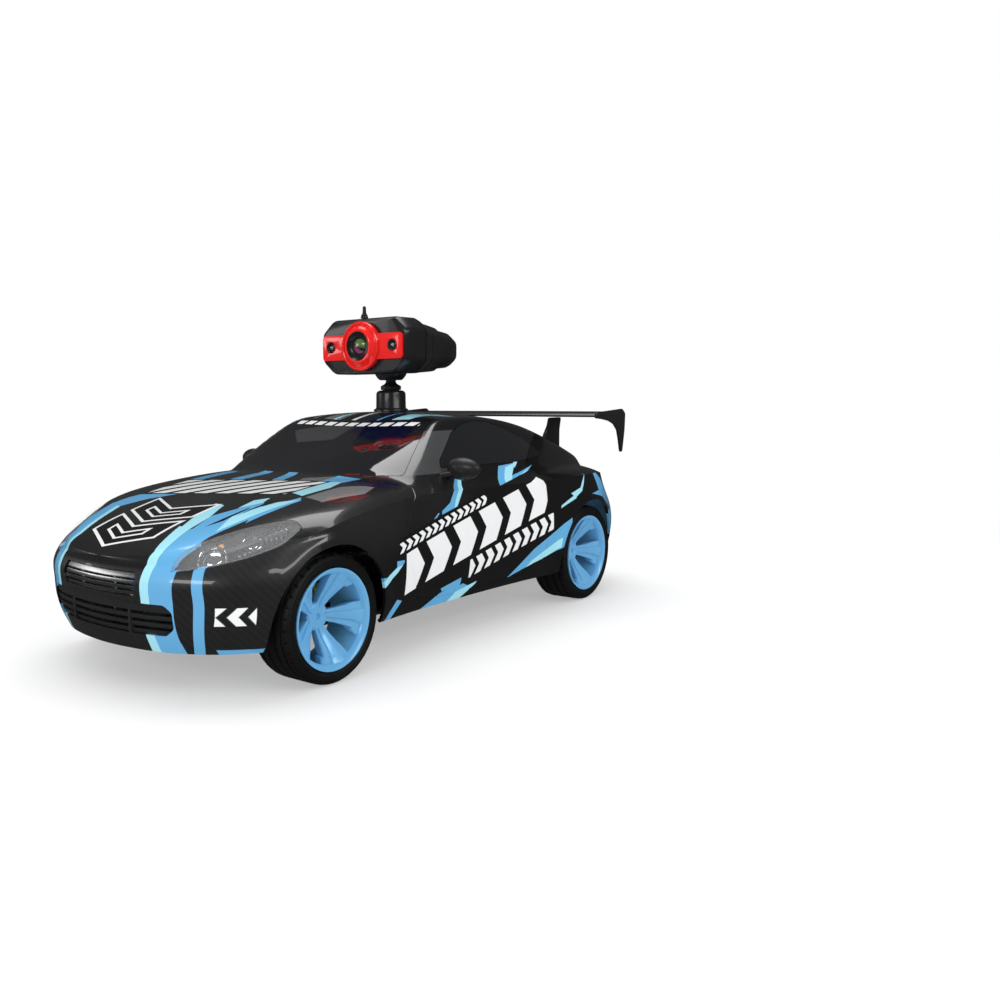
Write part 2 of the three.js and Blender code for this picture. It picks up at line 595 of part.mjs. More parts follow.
function addFrontEnd() {
  const tip = [[5.5, 3], [2.5, 5.2], [-2.5, 5.2], [-5.5, 3]].map(([x, y]) => [kingpinX + x, kingpinY + y]);
  const arm = (z) => prism("z", [[kingpinX - 9, 26], [kingpinX + 9, 26], ...tip], z[0], z[1]);
  const arms = [arm(armZ.low), arm(armZ.high)];
  const hole = rod("z", kingpinRadius + gap, 5, axleZ + 30, kingpinX, kingpinY, 16);
  const tower = block(kingpinX - 8, kingpinX + 8, -28, 28, floorTop + gap, armZ.high[1]);
  const window = block(kingpinX - 20, kingpinX + 20, -18, 18, floorTop + 7.5, armZ.high[0] - 3.7);
  place(
    "front_bulkhead",
    cutBy(joined([tower, ...arms, ...arms.map(mirrored)]), [hole, mirrored(hole), window]),
    paint.chassis,
  );
  const pin = rod("z", kingpinRadius, armZ.low[0] - 2.5, armZ.high[1] + 1, kingpinX, kingpinY, 16);
  const pinHead = rod("z", 3.4, armZ.high[1] + gap, armZ.high[1] + 2, kingpinX, kingpinY, 12);
  placePair("kingpin", pin.add(pinHead), paint.steel);
  placePair("front_spring", coil(kingpinX, kingpinY, springZ[0], springZ[1], 3.5, 0.5, 4), paint.steel);
  const washer = rod("z", 4.4, washerZ[0], washerZ[1], kingpinX, kingpinY, 16).subtract(hole);
  placePair("kingpin_washer", washer, paint.steel);

  const barrel = rod("z", 4.8, knuckleZ[0], knuckleZ[1], kingpinX, kingpinY, 16);
  const steerOutline = [[kingpinX, kingpinY - 3], [kingpinX, kingpinY + 3], [tiePinX, kingpinY + 3],
    [tiePinX - 2.8, kingpinY], [tiePinX, kingpinY - 3]];
  const steer = prism("z", steerOutline, axleZ - 2, axleZ + 2);
  const stub = rod("y", shaftRadius, kingpinY + 1, wheelMidY - 1.2, kingpinX, axleZ, 16);
  const flange = rod("y", 5, kingpinY + 2, wheelMidY - hubBack - 0.7, kingpinX, axleZ, 16);
  const tiePin = rod("z", tiePinRadius, axleZ + 1, axleZ + 11, tiePinX, kingpinY, 12);
  const clearOfPin = rod("z", 4, axleZ - 13, axleZ + 17, kingpinX, kingpinY, 16);
  const upright = joined([barrel, steer, flange, tiePin]).subtract(hole).add(stub.subtract(clearOfPin));
  placePair("steering_knuckle", upright, paint.lime);
}

// An eye with a slot along X, because the pin in it swings on an arc while the rod only slides.
function slottedEye(x, y, z, radius, forward, rearward) {
  const reach = tiePinRadius + gap;
  const eye = rod("z", radius, z[0], z[1], x, y, 16);
  return { eye, slot: block(x - reach - rearward, x + reach + forward, y - reach, y + reach, z[0] - 1,
    z[1] + 1) };
}

function addSteering() {
  const ends = [slottedEye(tiePinX, kingpinY, rodZ, 4.3, 0.8, 0.1), slottedEye(tiePinX, -kingpinY, rodZ,
    4.3, 0.8, 0.1)];
  const middle = slottedEye(tiePinX, 0, rodZ, 4.6, 0.1, 0.9);
  const eyes = [...ends, middle];
  const bar = block(tiePinX - 2, tiePinX + 2, -kingpinY, kingpinY, rodZ[0], rodZ[1]);
  place("tie_rod", cutBy(joined([bar, ...eyes.map((e) => e.eye)]), eyes.map((e) => e.slot)), paint.nylon);

  const hornX = tiePinX - hornLength;
  const servoTop = rodZ[0] - 4.5;
  const servo = joined([
    block(hornX - 26, hornX + 6, -8, 8, floorTop + gap, servoTop),
    block(hornX - 32, hornX + 12, -8, 8, servoTop - 9.5, servoTop - 7),
    rod("z", 3.2, servoTop - 1, servoTop + 1, hornX, 0, 12),
  ]);
  place("steering_servo", servo, paint.trim);
  const [hornLow, hornTop] = [servoTop + 1 + gap, rodZ[0] - 0.6];
  const hornOutline = [[hornX, -3.4], [tiePinX, -2.6], [tiePinX + 2.4, 0], [tiePinX, 2.6], [hornX, 3.4]];
  const horn = joined([
    rod("z", 4.6, hornLow, hornTop, hornX, 0, 16),
    prism("z", hornOutline, hornLow, hornTop),
    rod("z", tiePinRadius, hornLow + 1, rodZ[1] + 1.5, tiePinX, 0, 12),
  ]);
  place("servo_horn", horn, paint.nylon);
}

// ---------- wheels ----------
const wheelSides = 20;
const hubBack = 7.2; // how far the hub boss stands inboard of its face
function rimSolid() {
  const lip = tyreWidth / 2 - 0.3;
  const barrel = turned(
    [
      [rimRadius, lip], [rimRadius, lip - 1.1], [rimRadius - 1.4, lip - 1.5], [rimRadius - 1.4, 1.5 - lip],
      [rimRadius, 1.1 - lip], [rimRadius, -lip], [rimRadius - 3, -lip], [rimRadius - 3, lip - 2],
    ],
    wheelSides,
  );
  const bore = shaftRadius + runGap;
  const outerR = rimRadius - 2.4;
  const dish = turned([[bore, 0], [8, 0], [outerR, 9.5], [outerR, 6], [8, -3.5], [6.5, -hubBack], [bore,
    -hubBack]], wheelSides);
  const windows = [...Array(5).keys()].map((i) => {
    const turn = Math.PI / 2 + (i * 2 * Math.PI) / 5;
    const corner = (r, a) => [r * Math.cos(turn + a), r * Math.sin(turn + a)];
    const far = rimRadius - 3.6;
    return prism("y", [corner(9.6, -0.16), corner(far, -0.34), corner(far, 0), corner(far, 0.34),
      corner(9.6, 0.16)], -15, 20);
  });
  return joined([barrel, cutBy(dish, windows)]);
}
function tyreSolid() {
  const half = tyreWidth / 2;
  const bead = rimRadius + gap;
  const seat = rimRadius - 1.4 + gap;
  const side = [[seat, half - 2.2], [bead, half - 1.7], [rimRadius + 3, half], [tyreRadius - 1.4,
    half - 0.6], [tyreRadius, half - 3]];
  return turned([...side, ...side.slice().reverse().map(([r, y]) => [r, -y])], wheelSides);
}
function addWheels() {
  const rim = rimSolid();
  const tyre = tyreSolid();
  for (const [name, x] of [["front", frontAxleX], ["rear", rearAxleX]]) {
    placePair(`${name}_rim`, rim.translate([x, wheelMidY, axleZ]), paint.rim);
    placePair(`${name}_tyre`, tyre.translate([x, wheelMidY, axleZ]), paint.tyre);
  }
}

// ---------- rear gearbox, motor and axle ----------
const seatTop = axleZ - 3.3; // rear spring seat
const gearY = [31, 37];
const plateY = [24.3, 28];
const spurRadius = (gearModule * spurTeeth) / 2;
const pinionRadius = (gearModule * pinionTeeth) / 2;
const meshAngle = 0.61; // from the axle up and forward to the motor
const motorX = rearAxleX + (spurRadius + pinionRadius) * Math.cos(meshAngle);
const motorZ = axleZ + (spurRadius + pinionRadius) * Math.sin(meshAngle);

function gear(teeth, x, z, phase, y0, y1) {
  const pitch = (2 * Math.PI) / teeth;
  const radius = (gearModule * teeth) / 2;
  const root = radius - 1.25 * gearModule;
  const tip = radius + 0.85 * gearModule;
  const outline = [];
  for (let i = 0; i < teeth; i++) {
    const at = phase + i * pitch;
    for (const [r, share] of [[root, -0.24], [tip, -0.09], [tip, 0.09], [root, 0.24]]) {
      outline.push([x + r * Math.cos(at + share * pitch), z + r * Math.sin(at + share * pitch)]);
    }
  }
  return prism("y", outline, y0, y1);
}

function addDrive() {
  const [px, pz] = podPivot;
  const fromAxle = (x, z) => [rearAxleX + x, axleZ + z];
  const plate = [
    [px + 4.5, pz], [px + 3, pz + 4], fromAxle(39, -6), fromAxle(35, 15), fromAxle(29, 26), fromAxle(17, 31),
    fromAxle(5, 26.5), fromAxle(-9, 12), fromAxle(-11, -6), fromAxle(-3, -12.5), fromAxle(19, -14.5),
    [rearAxleX + 35, pz - 4.4], [px, pz - 4.4],
  ];
  const underside = block(rearAxleX - 5, rearAxleX + 27, -25, 25, axleZ - 12.2, axleZ - 10);
  const springSeat = block(rearAxleX - 31, rearAxleX - 6, -28, 28, axleZ - 6, seatTop);
  const plates = [prism("y", plate, plateY[0], plateY[1]), prism("y", plate, -plateY[1], -plateY[0])];
  const bossRadius = 5;
  place(
    "gearbox_housing",
    cutBy(joined([...plates, underside, springSeat]), [
      rod("y", shaftRadius + runGap, -40, 40, px, pz, 16),
      rod("y", shaftRadius + runGap, -40, 40, rearAxleX, axleZ, 16),
      rod("y", bossRadius + gap, -40, 40, motorX, motorZ, 16),
    ]),
    paint.chassis,
  );
  const pinRadius = 1.2;
  const can = joined([
    rod("y", motorRadius, gap - plateY[0], plateY[0] - gap, motorX, motorZ, 24),
    rod("y", bossRadius, -26.5, 26.5, motorX, motorZ, 16),
  ]);
  place("drive_motor", can.subtract(rod("y", pinRadius + runGap, 10, 30, motorX, motorZ, 12)), paint.steel);
  const pinionPhase = meshAngle + Math.PI + Math.PI / pinionTeeth;
  place(
    "motor_pinion",
    joined([gear(pinionTeeth, motorX, motorZ, pinionPhase, gearY[0], gearY[1]), rod("y", pinRadius, 12,
      gearY[1] + 1, motorX, motorZ, 12)]),
    paint.nylon,
  );
  const hub = rod("y", 6, gearY[0] - 1.5, gearY[1] + 1.5, rearAxleX, axleZ, 16);
  const bore = rod("y", shaftRadius + gap, 20, 50, rearAxleX, axleZ, 16);
  place("spur_gear", cutBy(gear(spurTeeth, rearAxleX, axleZ, meshAngle, gearY[0], gearY[1]).add(hub),
    [bore]), paint.nylon);
  place("axle_shaft", rod("y", shaftRadius, 1.2 - wheelMidY, wheelMidY - 1.2, rearAxleX, axleZ, 16),
    paint.steel);
  place("pod_hinge_pin", rod("y", shaftRadius, -40.5, 40.5, px, pz, 16), paint.steel);
  const springX = (braceX[0] + braceX[1]) / 2;
  placePair("rear_spring", coil(springX, 20, seatTop + gap, braceZ[0] - gap, 4.5, 0.7, 6), paint.steel);
}

// ---------- camera on its ball mount ----------
const ballZ = roofZ + 25;
const headTop = ballZ + 34;
const lensZ = ballZ + 16.5;
const ballRadius = 5.6;
function upTurned(profile, sides, x, y) {
  const points = profile.map((p) => new THREE.Vector2(p[0], p[1]));
  return solid(new THREE.LatheGeometry(points, sides).rotateX(Math.PI / 2).translate(x, y, 0));
}

function addCameraMount() {
  const foot = roofZ - 3;
  const [neck, rim] = [roofZ + 2.3, ballZ - 11.2];
  const profile = [[0, foot], [11.5, foot], [11.5, neck - 0.8], [9.8, neck], [9.6, rim - 1.7], [7.6, rim],
    [0, rim]];
  const cup = upTurned(profile, 20, mountX, 0);
  place("camera_base", cutBy(cup, [cleared, rod("z", 5.9, ballZ - 19.2, ballZ, mountX, 0, 16)]),
    paint.cameraBlack);
  const ball = [];
  for (let i = 1; i < 8; i++) {
    const a = (-0.28 + (0.78 * i) / 8) * Math.PI;
    ball.push([ballRadius * Math.cos(a), ballZ + ballRadius * Math.sin(a)]);
  }
  const stem = [[0, -18.9], [5.6, -18.9], [5.6, -10.9], [6.7, -10.9], [6.7, -8.3], [3.4, -5.9]].map(([r,
    z]) => [r, ballZ + z]);
  place("camera_swivel", upTurned([...stem, ...ball, [0, ballZ + ballRadius]], 16, mountX, 0),
    paint.cameraBlack);
}

// One ring of the camera housing: a box section with cut corners.
function housingRing(x, half, z0, z1, cut) {
  const rise = cut * 0.85;
  return [
    [x, half - cut, z1], [x, half, z1 - rise], [x, half, z0 + rise], [x, half - cut, z0],
    [x, cut - half, z0], [x, -half, z0 + rise], [x, -half, z1 - rise], [x, cut - half, z1],
  ];
}

function addCameraHead() {
  const low = ballZ - 0.7;
  const rings = [
    [13, 34.5, low + 1.7, headTop - 2, 9], [10, 36.5, low, headTop, 9.5], [-6, 36.5, low, headTop, 9.5],
    [-18, 32, low + 0.7, headTop - 2.5, 9], [-33, 30, low + 1.7, headTop - 4.5, 8],
  ];
  const cupProfile = [[0, -4.5], [7.4, -4.5], [10.3, -1.1], [10.6, 4.5], [0, 4.5]].map(([r, z]) => [r,
    ballZ + z]);
  const cup = upTurned(cupProfile, 20, mountX, 0);
  const socket = solid(new THREE.SphereGeometry(ballRadius + 0.7, 20, 12).translate(mountX, 0, ballZ));
  const mouth = rod("z", 7, ballZ - 7.5, ballZ - 2.5, mountX, 0, 16, 4.8);
  const front = cutBy(joined([loft(rings.map((r) => housingRing(...r))), cup]), [socket, mouth]);
  place("camera_housing_front", front, paint.cameraBlack);
  const rearRings = [
    [-33 - gap, 29, low + 3.2, headTop - 6, 7], [-46, 28.5, low + 4.2, headTop - 7.5, 6.5],
    [-52, 26, low + 5.7, headTop - 9.5, 6],
  ];
  place("camera_housing_rear", loft(rearRings.map((r) => housingRing(...r))), paint.cameraBlack);

  const faceX = 13 + gap;
  const bandHalf = [[33.5, -7], [32, -8.5], [-32, -8.5], [-33.5, -7], [-33.5, 6], [-32, 7.5], [32, 7.5],
    [33.5, 6]];
  const band = bandHalf.map(([y, z]) => [y, lensZ + z]).reverse();
  const dots = [26, -26].map((y) => rod("x", 2, faceX + 1, faceX + 5, y, lensZ, 12, 3.4));
  const face = joined([
    prism("x", band, faceX, faceX + 2),
    rod("x", 15.4, faceX, faceX + 3.5, 0, lensZ, 28),
    rod("x", 15, faceX + 3, faceX + 5.5, 0, lensZ, 28, 12),
  ]);
  const lensRadius = 5;
  const well = rod("x", lensRadius + gap, faceX + 1, faceX + 10, 0, lensZ, 16);
  place("camera_face", cutBy(face, [well, ...dots]), paint.cameraRed);
  place("camera_lens", rod("x", lensRadius, faceX + 1 + gap, faceX + 4.6, 0, lensZ, 16, 4.2), paint.lens);
  const top = headTop + gap;
  const aerial = upTurned([[0, top], [2.4, top], [1.9, top + 2.5], [1.2, top + 3.5], [1.1, top + 7.3], [0,
    top + 7.7]], 12, 8, -3);
  place("camera_antenna", aerial, paint.cameraBlack);
}

addShell();
addGlass();
addLamps();
addGrilles();
addMirrors();
addWing();
addTub();
addElectrics();
addFrontEnd();
addSteering();
addWheels();
addDrive();
addCameraMount();
addCameraHead();

export default car;
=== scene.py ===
import math
import bpy
from mathutils import Matrix, Vector


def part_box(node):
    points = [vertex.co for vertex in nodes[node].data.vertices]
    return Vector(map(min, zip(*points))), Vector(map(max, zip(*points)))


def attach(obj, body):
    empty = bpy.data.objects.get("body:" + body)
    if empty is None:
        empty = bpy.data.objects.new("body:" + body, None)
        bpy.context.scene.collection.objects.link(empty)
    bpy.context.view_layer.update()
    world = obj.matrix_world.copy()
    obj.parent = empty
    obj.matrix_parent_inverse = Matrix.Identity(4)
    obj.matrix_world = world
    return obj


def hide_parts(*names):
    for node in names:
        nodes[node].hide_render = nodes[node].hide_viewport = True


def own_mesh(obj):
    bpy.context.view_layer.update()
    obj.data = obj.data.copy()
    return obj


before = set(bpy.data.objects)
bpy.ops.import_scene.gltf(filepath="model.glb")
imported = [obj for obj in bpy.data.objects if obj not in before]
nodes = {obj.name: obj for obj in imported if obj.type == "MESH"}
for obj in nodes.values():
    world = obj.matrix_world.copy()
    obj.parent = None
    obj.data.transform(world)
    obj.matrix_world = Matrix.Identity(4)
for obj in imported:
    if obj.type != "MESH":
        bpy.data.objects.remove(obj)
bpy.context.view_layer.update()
mm = 0.001
fullTurn = 2 * math.pi
hands = ((1, "left"), (-1, "right"))
wireSides = 10  # faces round a spring wire
print("frame loaded,", len(nodes), "pieces")


# small helpers, all sizes in millimetres
def nodeBox(name):
    low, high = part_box(name)
    return low / mm, high / mm


def dropSelection():
    if bpy.context.mode != "OBJECT":
        bpy.ops.object.mode_set(mode="OBJECT")
    bpy.ops.object.select_all(action="DESELECT")


def pick(*pieces):
    dropSelection()
    for piece in pieces:
        piece.hide_viewport = False
        piece.select_set(True)
    bpy.context.view_layer.objects.active = pieces[0]
    return pieces[0]


def editAll(piece):
    pick(piece)
    bpy.ops.object.mode_set(mode="EDIT")
    bpy.ops.mesh.select_all(action="SELECT")


def closeEdit(merge=0.004):
    bpy.ops.mesh.select_all(action="SELECT")
    bpy.ops.mesh.remove_doubles(threshold=merge * mm)
    bpy.ops.mesh.normals_make_consistent(inside=False)
    bpy.ops.object.mode_set(mode="OBJECT")


def loopOf(points):
    # a wire circle with one vertex for each point, moved onto the points
    dropSelection()
    bpy.ops.mesh.primitive_circle_add(vertices=len(points), radius=mm, fill_type="NOTHING")
    loop = bpy.context.object
    for vertex, point in zip(loop.data.vertices, points):
        vertex.co = Vector(point) * mm
    return loop


def named(piece, name):
    piece.name = name
    piece.data.name = name
    return piece


planes = {"x": lambda a, b, t: (t, a, b), "y": lambda a, b, t: (a, t, b), "z": lambda a, b, t: (a, b, t)}


def prism(axis, outline, start, end):
    place = planes[axis]
    piece = loopOf([place(a, b, start) for a, b in outline])
    editAll(piece)
    bpy.ops.mesh.edge_face_add()
    step = Vector(place(0, 0, end - start)) * mm
    bpy.ops.mesh.extrude_region_move(TRANSFORM_OT_translate={"value": step})
    closeEdit()
    return piece


def turned(axis, section, centre, steps=64):
    # section: closed run of (radius, height) round one half of the cut shape
    along = {"x": Vector((1, 0, 0)), "y": Vector((0, 1, 0)), "z": Vector((0, 0, 1))}[axis]
    out = {"x": Vector((0, 1, 0)), "y": Vector((0, 0, 1)), "z": Vector((1, 0, 0))}[axis]
    middle = Vector(centre)
    piece = loopOf([middle + out * r + along * h for r, h in section])
    editAll(piece)
    bpy.ops.mesh.spin(steps=steps, angle=fullTurn, center=middle * mm, axis=along)
    closeEdit()
    return piece


def bridged(rings):
    loops = [loopOf(ring) for ring in rings]
    piece = pick(*loops)
    bpy.ops.object.join()
    bpy.ops.object.mode_set(mode="EDIT")
    bpy.ops.mesh.select_all(action="SELECT")
    bpy.ops.mesh.bridge_edge_loops()
    bpy.ops.mesh.select_all(action="DESELECT")
    bpy.ops.mesh.select_mode(type="EDGE")
    bpy.ops.mesh.select_non_manifold()
    bpy.ops.mesh.fill_holes(sides=0)
    bpy.ops.mesh.select_mode(type="VERT")
    closeEdit()
    return piece


def useModifier(piece, kind, **settings):
    pick(piece)
    modifier = piece.modifiers.new(kind.title(), kind)
    for key, value in settings.items():
        setattr(modifier, key, value)
    bpy.ops.object.modifier_apply(modifier=modifier.name)
    return piece


def carve(piece, tools, operation="DIFFERENCE", solver="MANIFOLD"):
    for tool in tools:
        whole, count = piece.data.copy(), len(piece.data.polygons)
        useModifier(piece, "BOOLEAN", operation=operation, solver=solver, object=tool)
        if len(piece.data.polygons) < count * (0.001 if operation == "INTERSECT" else 0.4):
            # the first solver lost the piece, so the other one does it
            piece.data = whole
            other = "EXACT" if solver == "MANIFOLD" else "MANIFOLD"
            useModifier(piece, "BOOLEAN", operation=operation, solver=other, object=tool)
            print("second solver", piece.name, count, len(piece.data.polygons))
        bpy.data.objects.remove(tool)
    return piece


def copyOf(piece):
    twin = piece.copy()
    twin.data = piece.data.copy()
    bpy.context.scene.collection.objects.link(twin)
    return twin


def mirroredCopy(piece):
    twin = copyOf(piece)
    for vertex in twin.data.vertices:
        vertex.co.y = -vertex.co.y
    twin.data.flip_normals()
    return twin


def soften(piece, width=0.5, segments=3, angle=30):
    return useModifier(
        piece, "BEVEL", width=width * mm, segments=segments, limit_method="ANGLE",
        angle_limit=math.radians(angle), use_clamp_overlap=True, harden_normals=False,
    )


def shade(piece, angle=32):
    pick(piece)
    bpy.ops.object.shade_smooth_by_angle(angle=math.radians(angle))
    return piece


def weld(pieces):
    body = pick(*pieces)
    bpy.ops.object.join()
    return body


def coat(piece, materials, used=0):
    piece.data.materials.clear()
    for material in materials:
        piece.data.materials.append(material)
    for polygon in piece.data.polygons:
        polygon.material_index = used


def dress(piece, name, materials, body, slot, *standsFor, angle=32):
    named(piece, name)
    shade(piece, angle)
    if not any(piece.data.materials):
        coat(piece, [materials])
    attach(piece, body)
    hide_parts(*standsFor)
    return piece


def coil(centre, low, high, radius, wire, turns):
    rise = (high - low - 2 * wire) / turns
    around = [fullTurn * k / wireSides for k in range(wireSides)]
    piece = loopOf([(radius + wire * math.cos(t), 0, wire * math.sin(t)) for t in around])
    useModifier(piece, "SCREW", angle=fullTurn, screw_offset=rise * mm, iterations=turns, steps=28,
        render_steps=28)
    for vertex in piece.data.vertices:
        vertex.co += Vector((centre[0], centre[1], low + wire)) * mm
    editAll(piece)
    bpy.ops.mesh.select_all(action="DESELECT")
    bpy.ops.mesh.select_mode(type="EDGE")
    bpy.ops.mesh.select_non_manifold()
    bpy.ops.mesh.fill_holes(sides=0)
    bpy.ops.mesh.select_mode(type="VERT")
    closeEdit(0.001)
    return piece


def remade(node, width=0.5, segments=3, angle=30, facet=4):
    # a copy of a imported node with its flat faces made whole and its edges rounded
    piece = copyOf(nodes[node])
    piece.parent = None
    for key in list(piece.keys()):
        del piece[key]
    piece.data.materials.clear()
    editAll(piece)
    bpy.ops.mesh.remove_doubles(threshold=0.004 * mm)
    bpy.ops.mesh.dissolve_limited(angle_limit=math.radians(facet))
    bpy.ops.object.mode_set(mode="OBJECT")
    if piece.data.attributes.get("custom_normal"):
        pick(piece)
        bpy.ops.mesh.customdata_custom_splitnormals_clear()
    return soften(piece, width, segments, angle)


# shader maths: one wrapped socket, worked with plain operators
class Link:
    def __init__(self, recipe, socket):
        self.recipe = recipe
        self.socket = socket

    def __add__(self, other):
        return self.recipe.maths("ADD", self, other)

    def __sub__(self, other):
        return self.recipe.maths("SUBTRACT", self, other)

    def __rsub__(self, other):
        return self.recipe.maths("SUBTRACT", other, self)

    def __mul__(self, other):
        return self.recipe.maths("MULTIPLY", self, other)

    def __truediv__(self, other):
        return self.recipe.maths("DIVIDE", self, other)

    def __neg__(self):
        return self.recipe.maths("MULTIPLY", self, -1)

    def __abs__(self):
        return self.recipe.maths("ABSOLUTE", self)

    def below(self, edge, blur=0.08):
        # 1 under the edge, 0 over it, with a thin soft line between
        return self.recipe.maths("MULTIPLY_ADD", self, -1 / blur, edge / blur + 0.5, clamp=True)

    def above(self, edge, blur=0.08):
        return self.recipe.maths("MULTIPLY_ADD", self, 1 / blur, 0.5 - edge / blur, clamp=True)

    def least(self, other):
        return self.recipe.maths("MINIMUM", self, other)

    def most(self, other):
        return self.recipe.maths("MAXIMUM", self, other)

    def repeat(self, pitch):
        return self.recipe.maths("FRACT", self / pitch)

    def wave(self):
        return self.recipe.maths("SINE", self)

    __radd__ = __add__
    __rmul__ = __mul__


class Recipe:
    def __init__(self, name, colour, roughness=0.5, metallic=0.0, **fixed):
        self.material = bpy.data.materials.new(name)
        self.material.use_nodes = True
        self.tree = self.material.node_tree
        self.shader = self.tree.nodes["Principled BSDF"]
        self.shader.inputs["Base Color"].default_value = (*colour, 1)
        self.shader.inputs["Roughness"].default_value = roughness
        self.shader.inputs["Metallic"].default_value = metallic
        for key, value in fixed.items():
            self.shader.inputs[key.replace("_", " ")].default_value = value

    def node(self, kind, settings=None, **values):
        made = self.tree.nodes.new(kind)
        for key, value in (settings or {}).items():
            setattr(made, key, value)
        for key, value in values.items():
            self.feed(made.inputs[key.replace("_", " ")], value)
        return made

    def feed(self, socket, value):
        if isinstance(value, Link):
            self.tree.links.new(value.socket, socket)
        else:
            socket.default_value = value

    def maths(self, operation, *values, clamp=False):
        made = self.node("ShaderNodeMath", {"operation": operation, "use_clamp": clamp})
        for socket, value in zip(made.inputs, values):
            self.feed(socket, value)
        return Link(self, made.outputs[0])

    def place(self):
        # object coordinates in millimetres
        spot = self.node("ShaderNodeTexCoord").outputs["Object"]
        scaled = self.node("ShaderNodeVectorMath", {"operation": "SCALE"}, Scale=1 / mm)
        self.tree.links.new(spot, scaled.inputs[0])
        self.spot = Link(self, scaled.outputs[0])
        parts = self.node("ShaderNodeSeparateXYZ", Vector=self.spot)
        return [Link(self, output) for output in parts.outputs]

    def noise(self, scale, detail=2.0, roughness=0.5):
        made = self.node("ShaderNodeTexNoise", Vector=self.spot, Scale=scale, Detail=detail,
            Roughness=roughness)
        return Link(self, made.outputs[0])

    def cells(self, scale):
        made = self.node("ShaderNodeTexVoronoi", {"feature": "DISTANCE_TO_EDGE"}, Vector=self.spot,
            Scale=scale)
        return Link(self, made.outputs[0])

    def mixed(self, mask, first, second):
        made = self.node("ShaderNodeMix", {"data_type": "RGBA"})
        self.feed(made.inputs[0], mask)
        for socket, value in ((made.inputs[6], first), (made.inputs[7], second)):
            self.feed(socket, value if isinstance(value, Link) else (*value, 1))
        return Link(self, made.outputs[2])

    def colour(self, value):
        self.feed(self.shader.inputs["Base Color"], value)

    def gloss(self, value):
        self.feed(self.shader.inputs["Roughness"], value)

    def relief(self, height, depth, strength=1.0):
        # depth: how far a height of 1 stands up, in millimetres
        bump = self.node("ShaderNodeBump", Height=height, Distance=depth * mm, Strength=strength)
        self.tree.links.new(bump.outputs[0], self.shader.inputs["Normal"])

    def patch(self, corners, a, b):
        # signed distance inside a convex outline drawn on two coordinates
        middle = [sum(c[k] for c in corners) / len(corners) for k in (0, 1)]
        inside = None
        for (a0, b0), (a1, b1) in zip(corners, corners[1:] + corners[:1]):
            length = math.hypot(a1 - a0, b1 - b0)
            across = ((b0 - b1) / length, (a1 - a0) / length)
            if (middle[0] - a0) * across[0] + (middle[1] - b0) * across[1] < 0:
                across = (-across[0], -across[1])
            offset = -(a0 * across[0] + b0 * across[1])
            depth = self.maths("MULTIPLY_ADD", b, across[1],
                self.maths("MULTIPLY_ADD", a, across[0], offset))
            inside = depth if inside is None else inside.least(depth)
        return inside

    def patches(self, outlines, a, b):
        covered = None
        for corners in outlines:
            depth = self.patch(corners, a, b)
            covered = depth if covered is None else covered.most(depth)
        return covered.above(0, 0.15)


print("helpers ready")

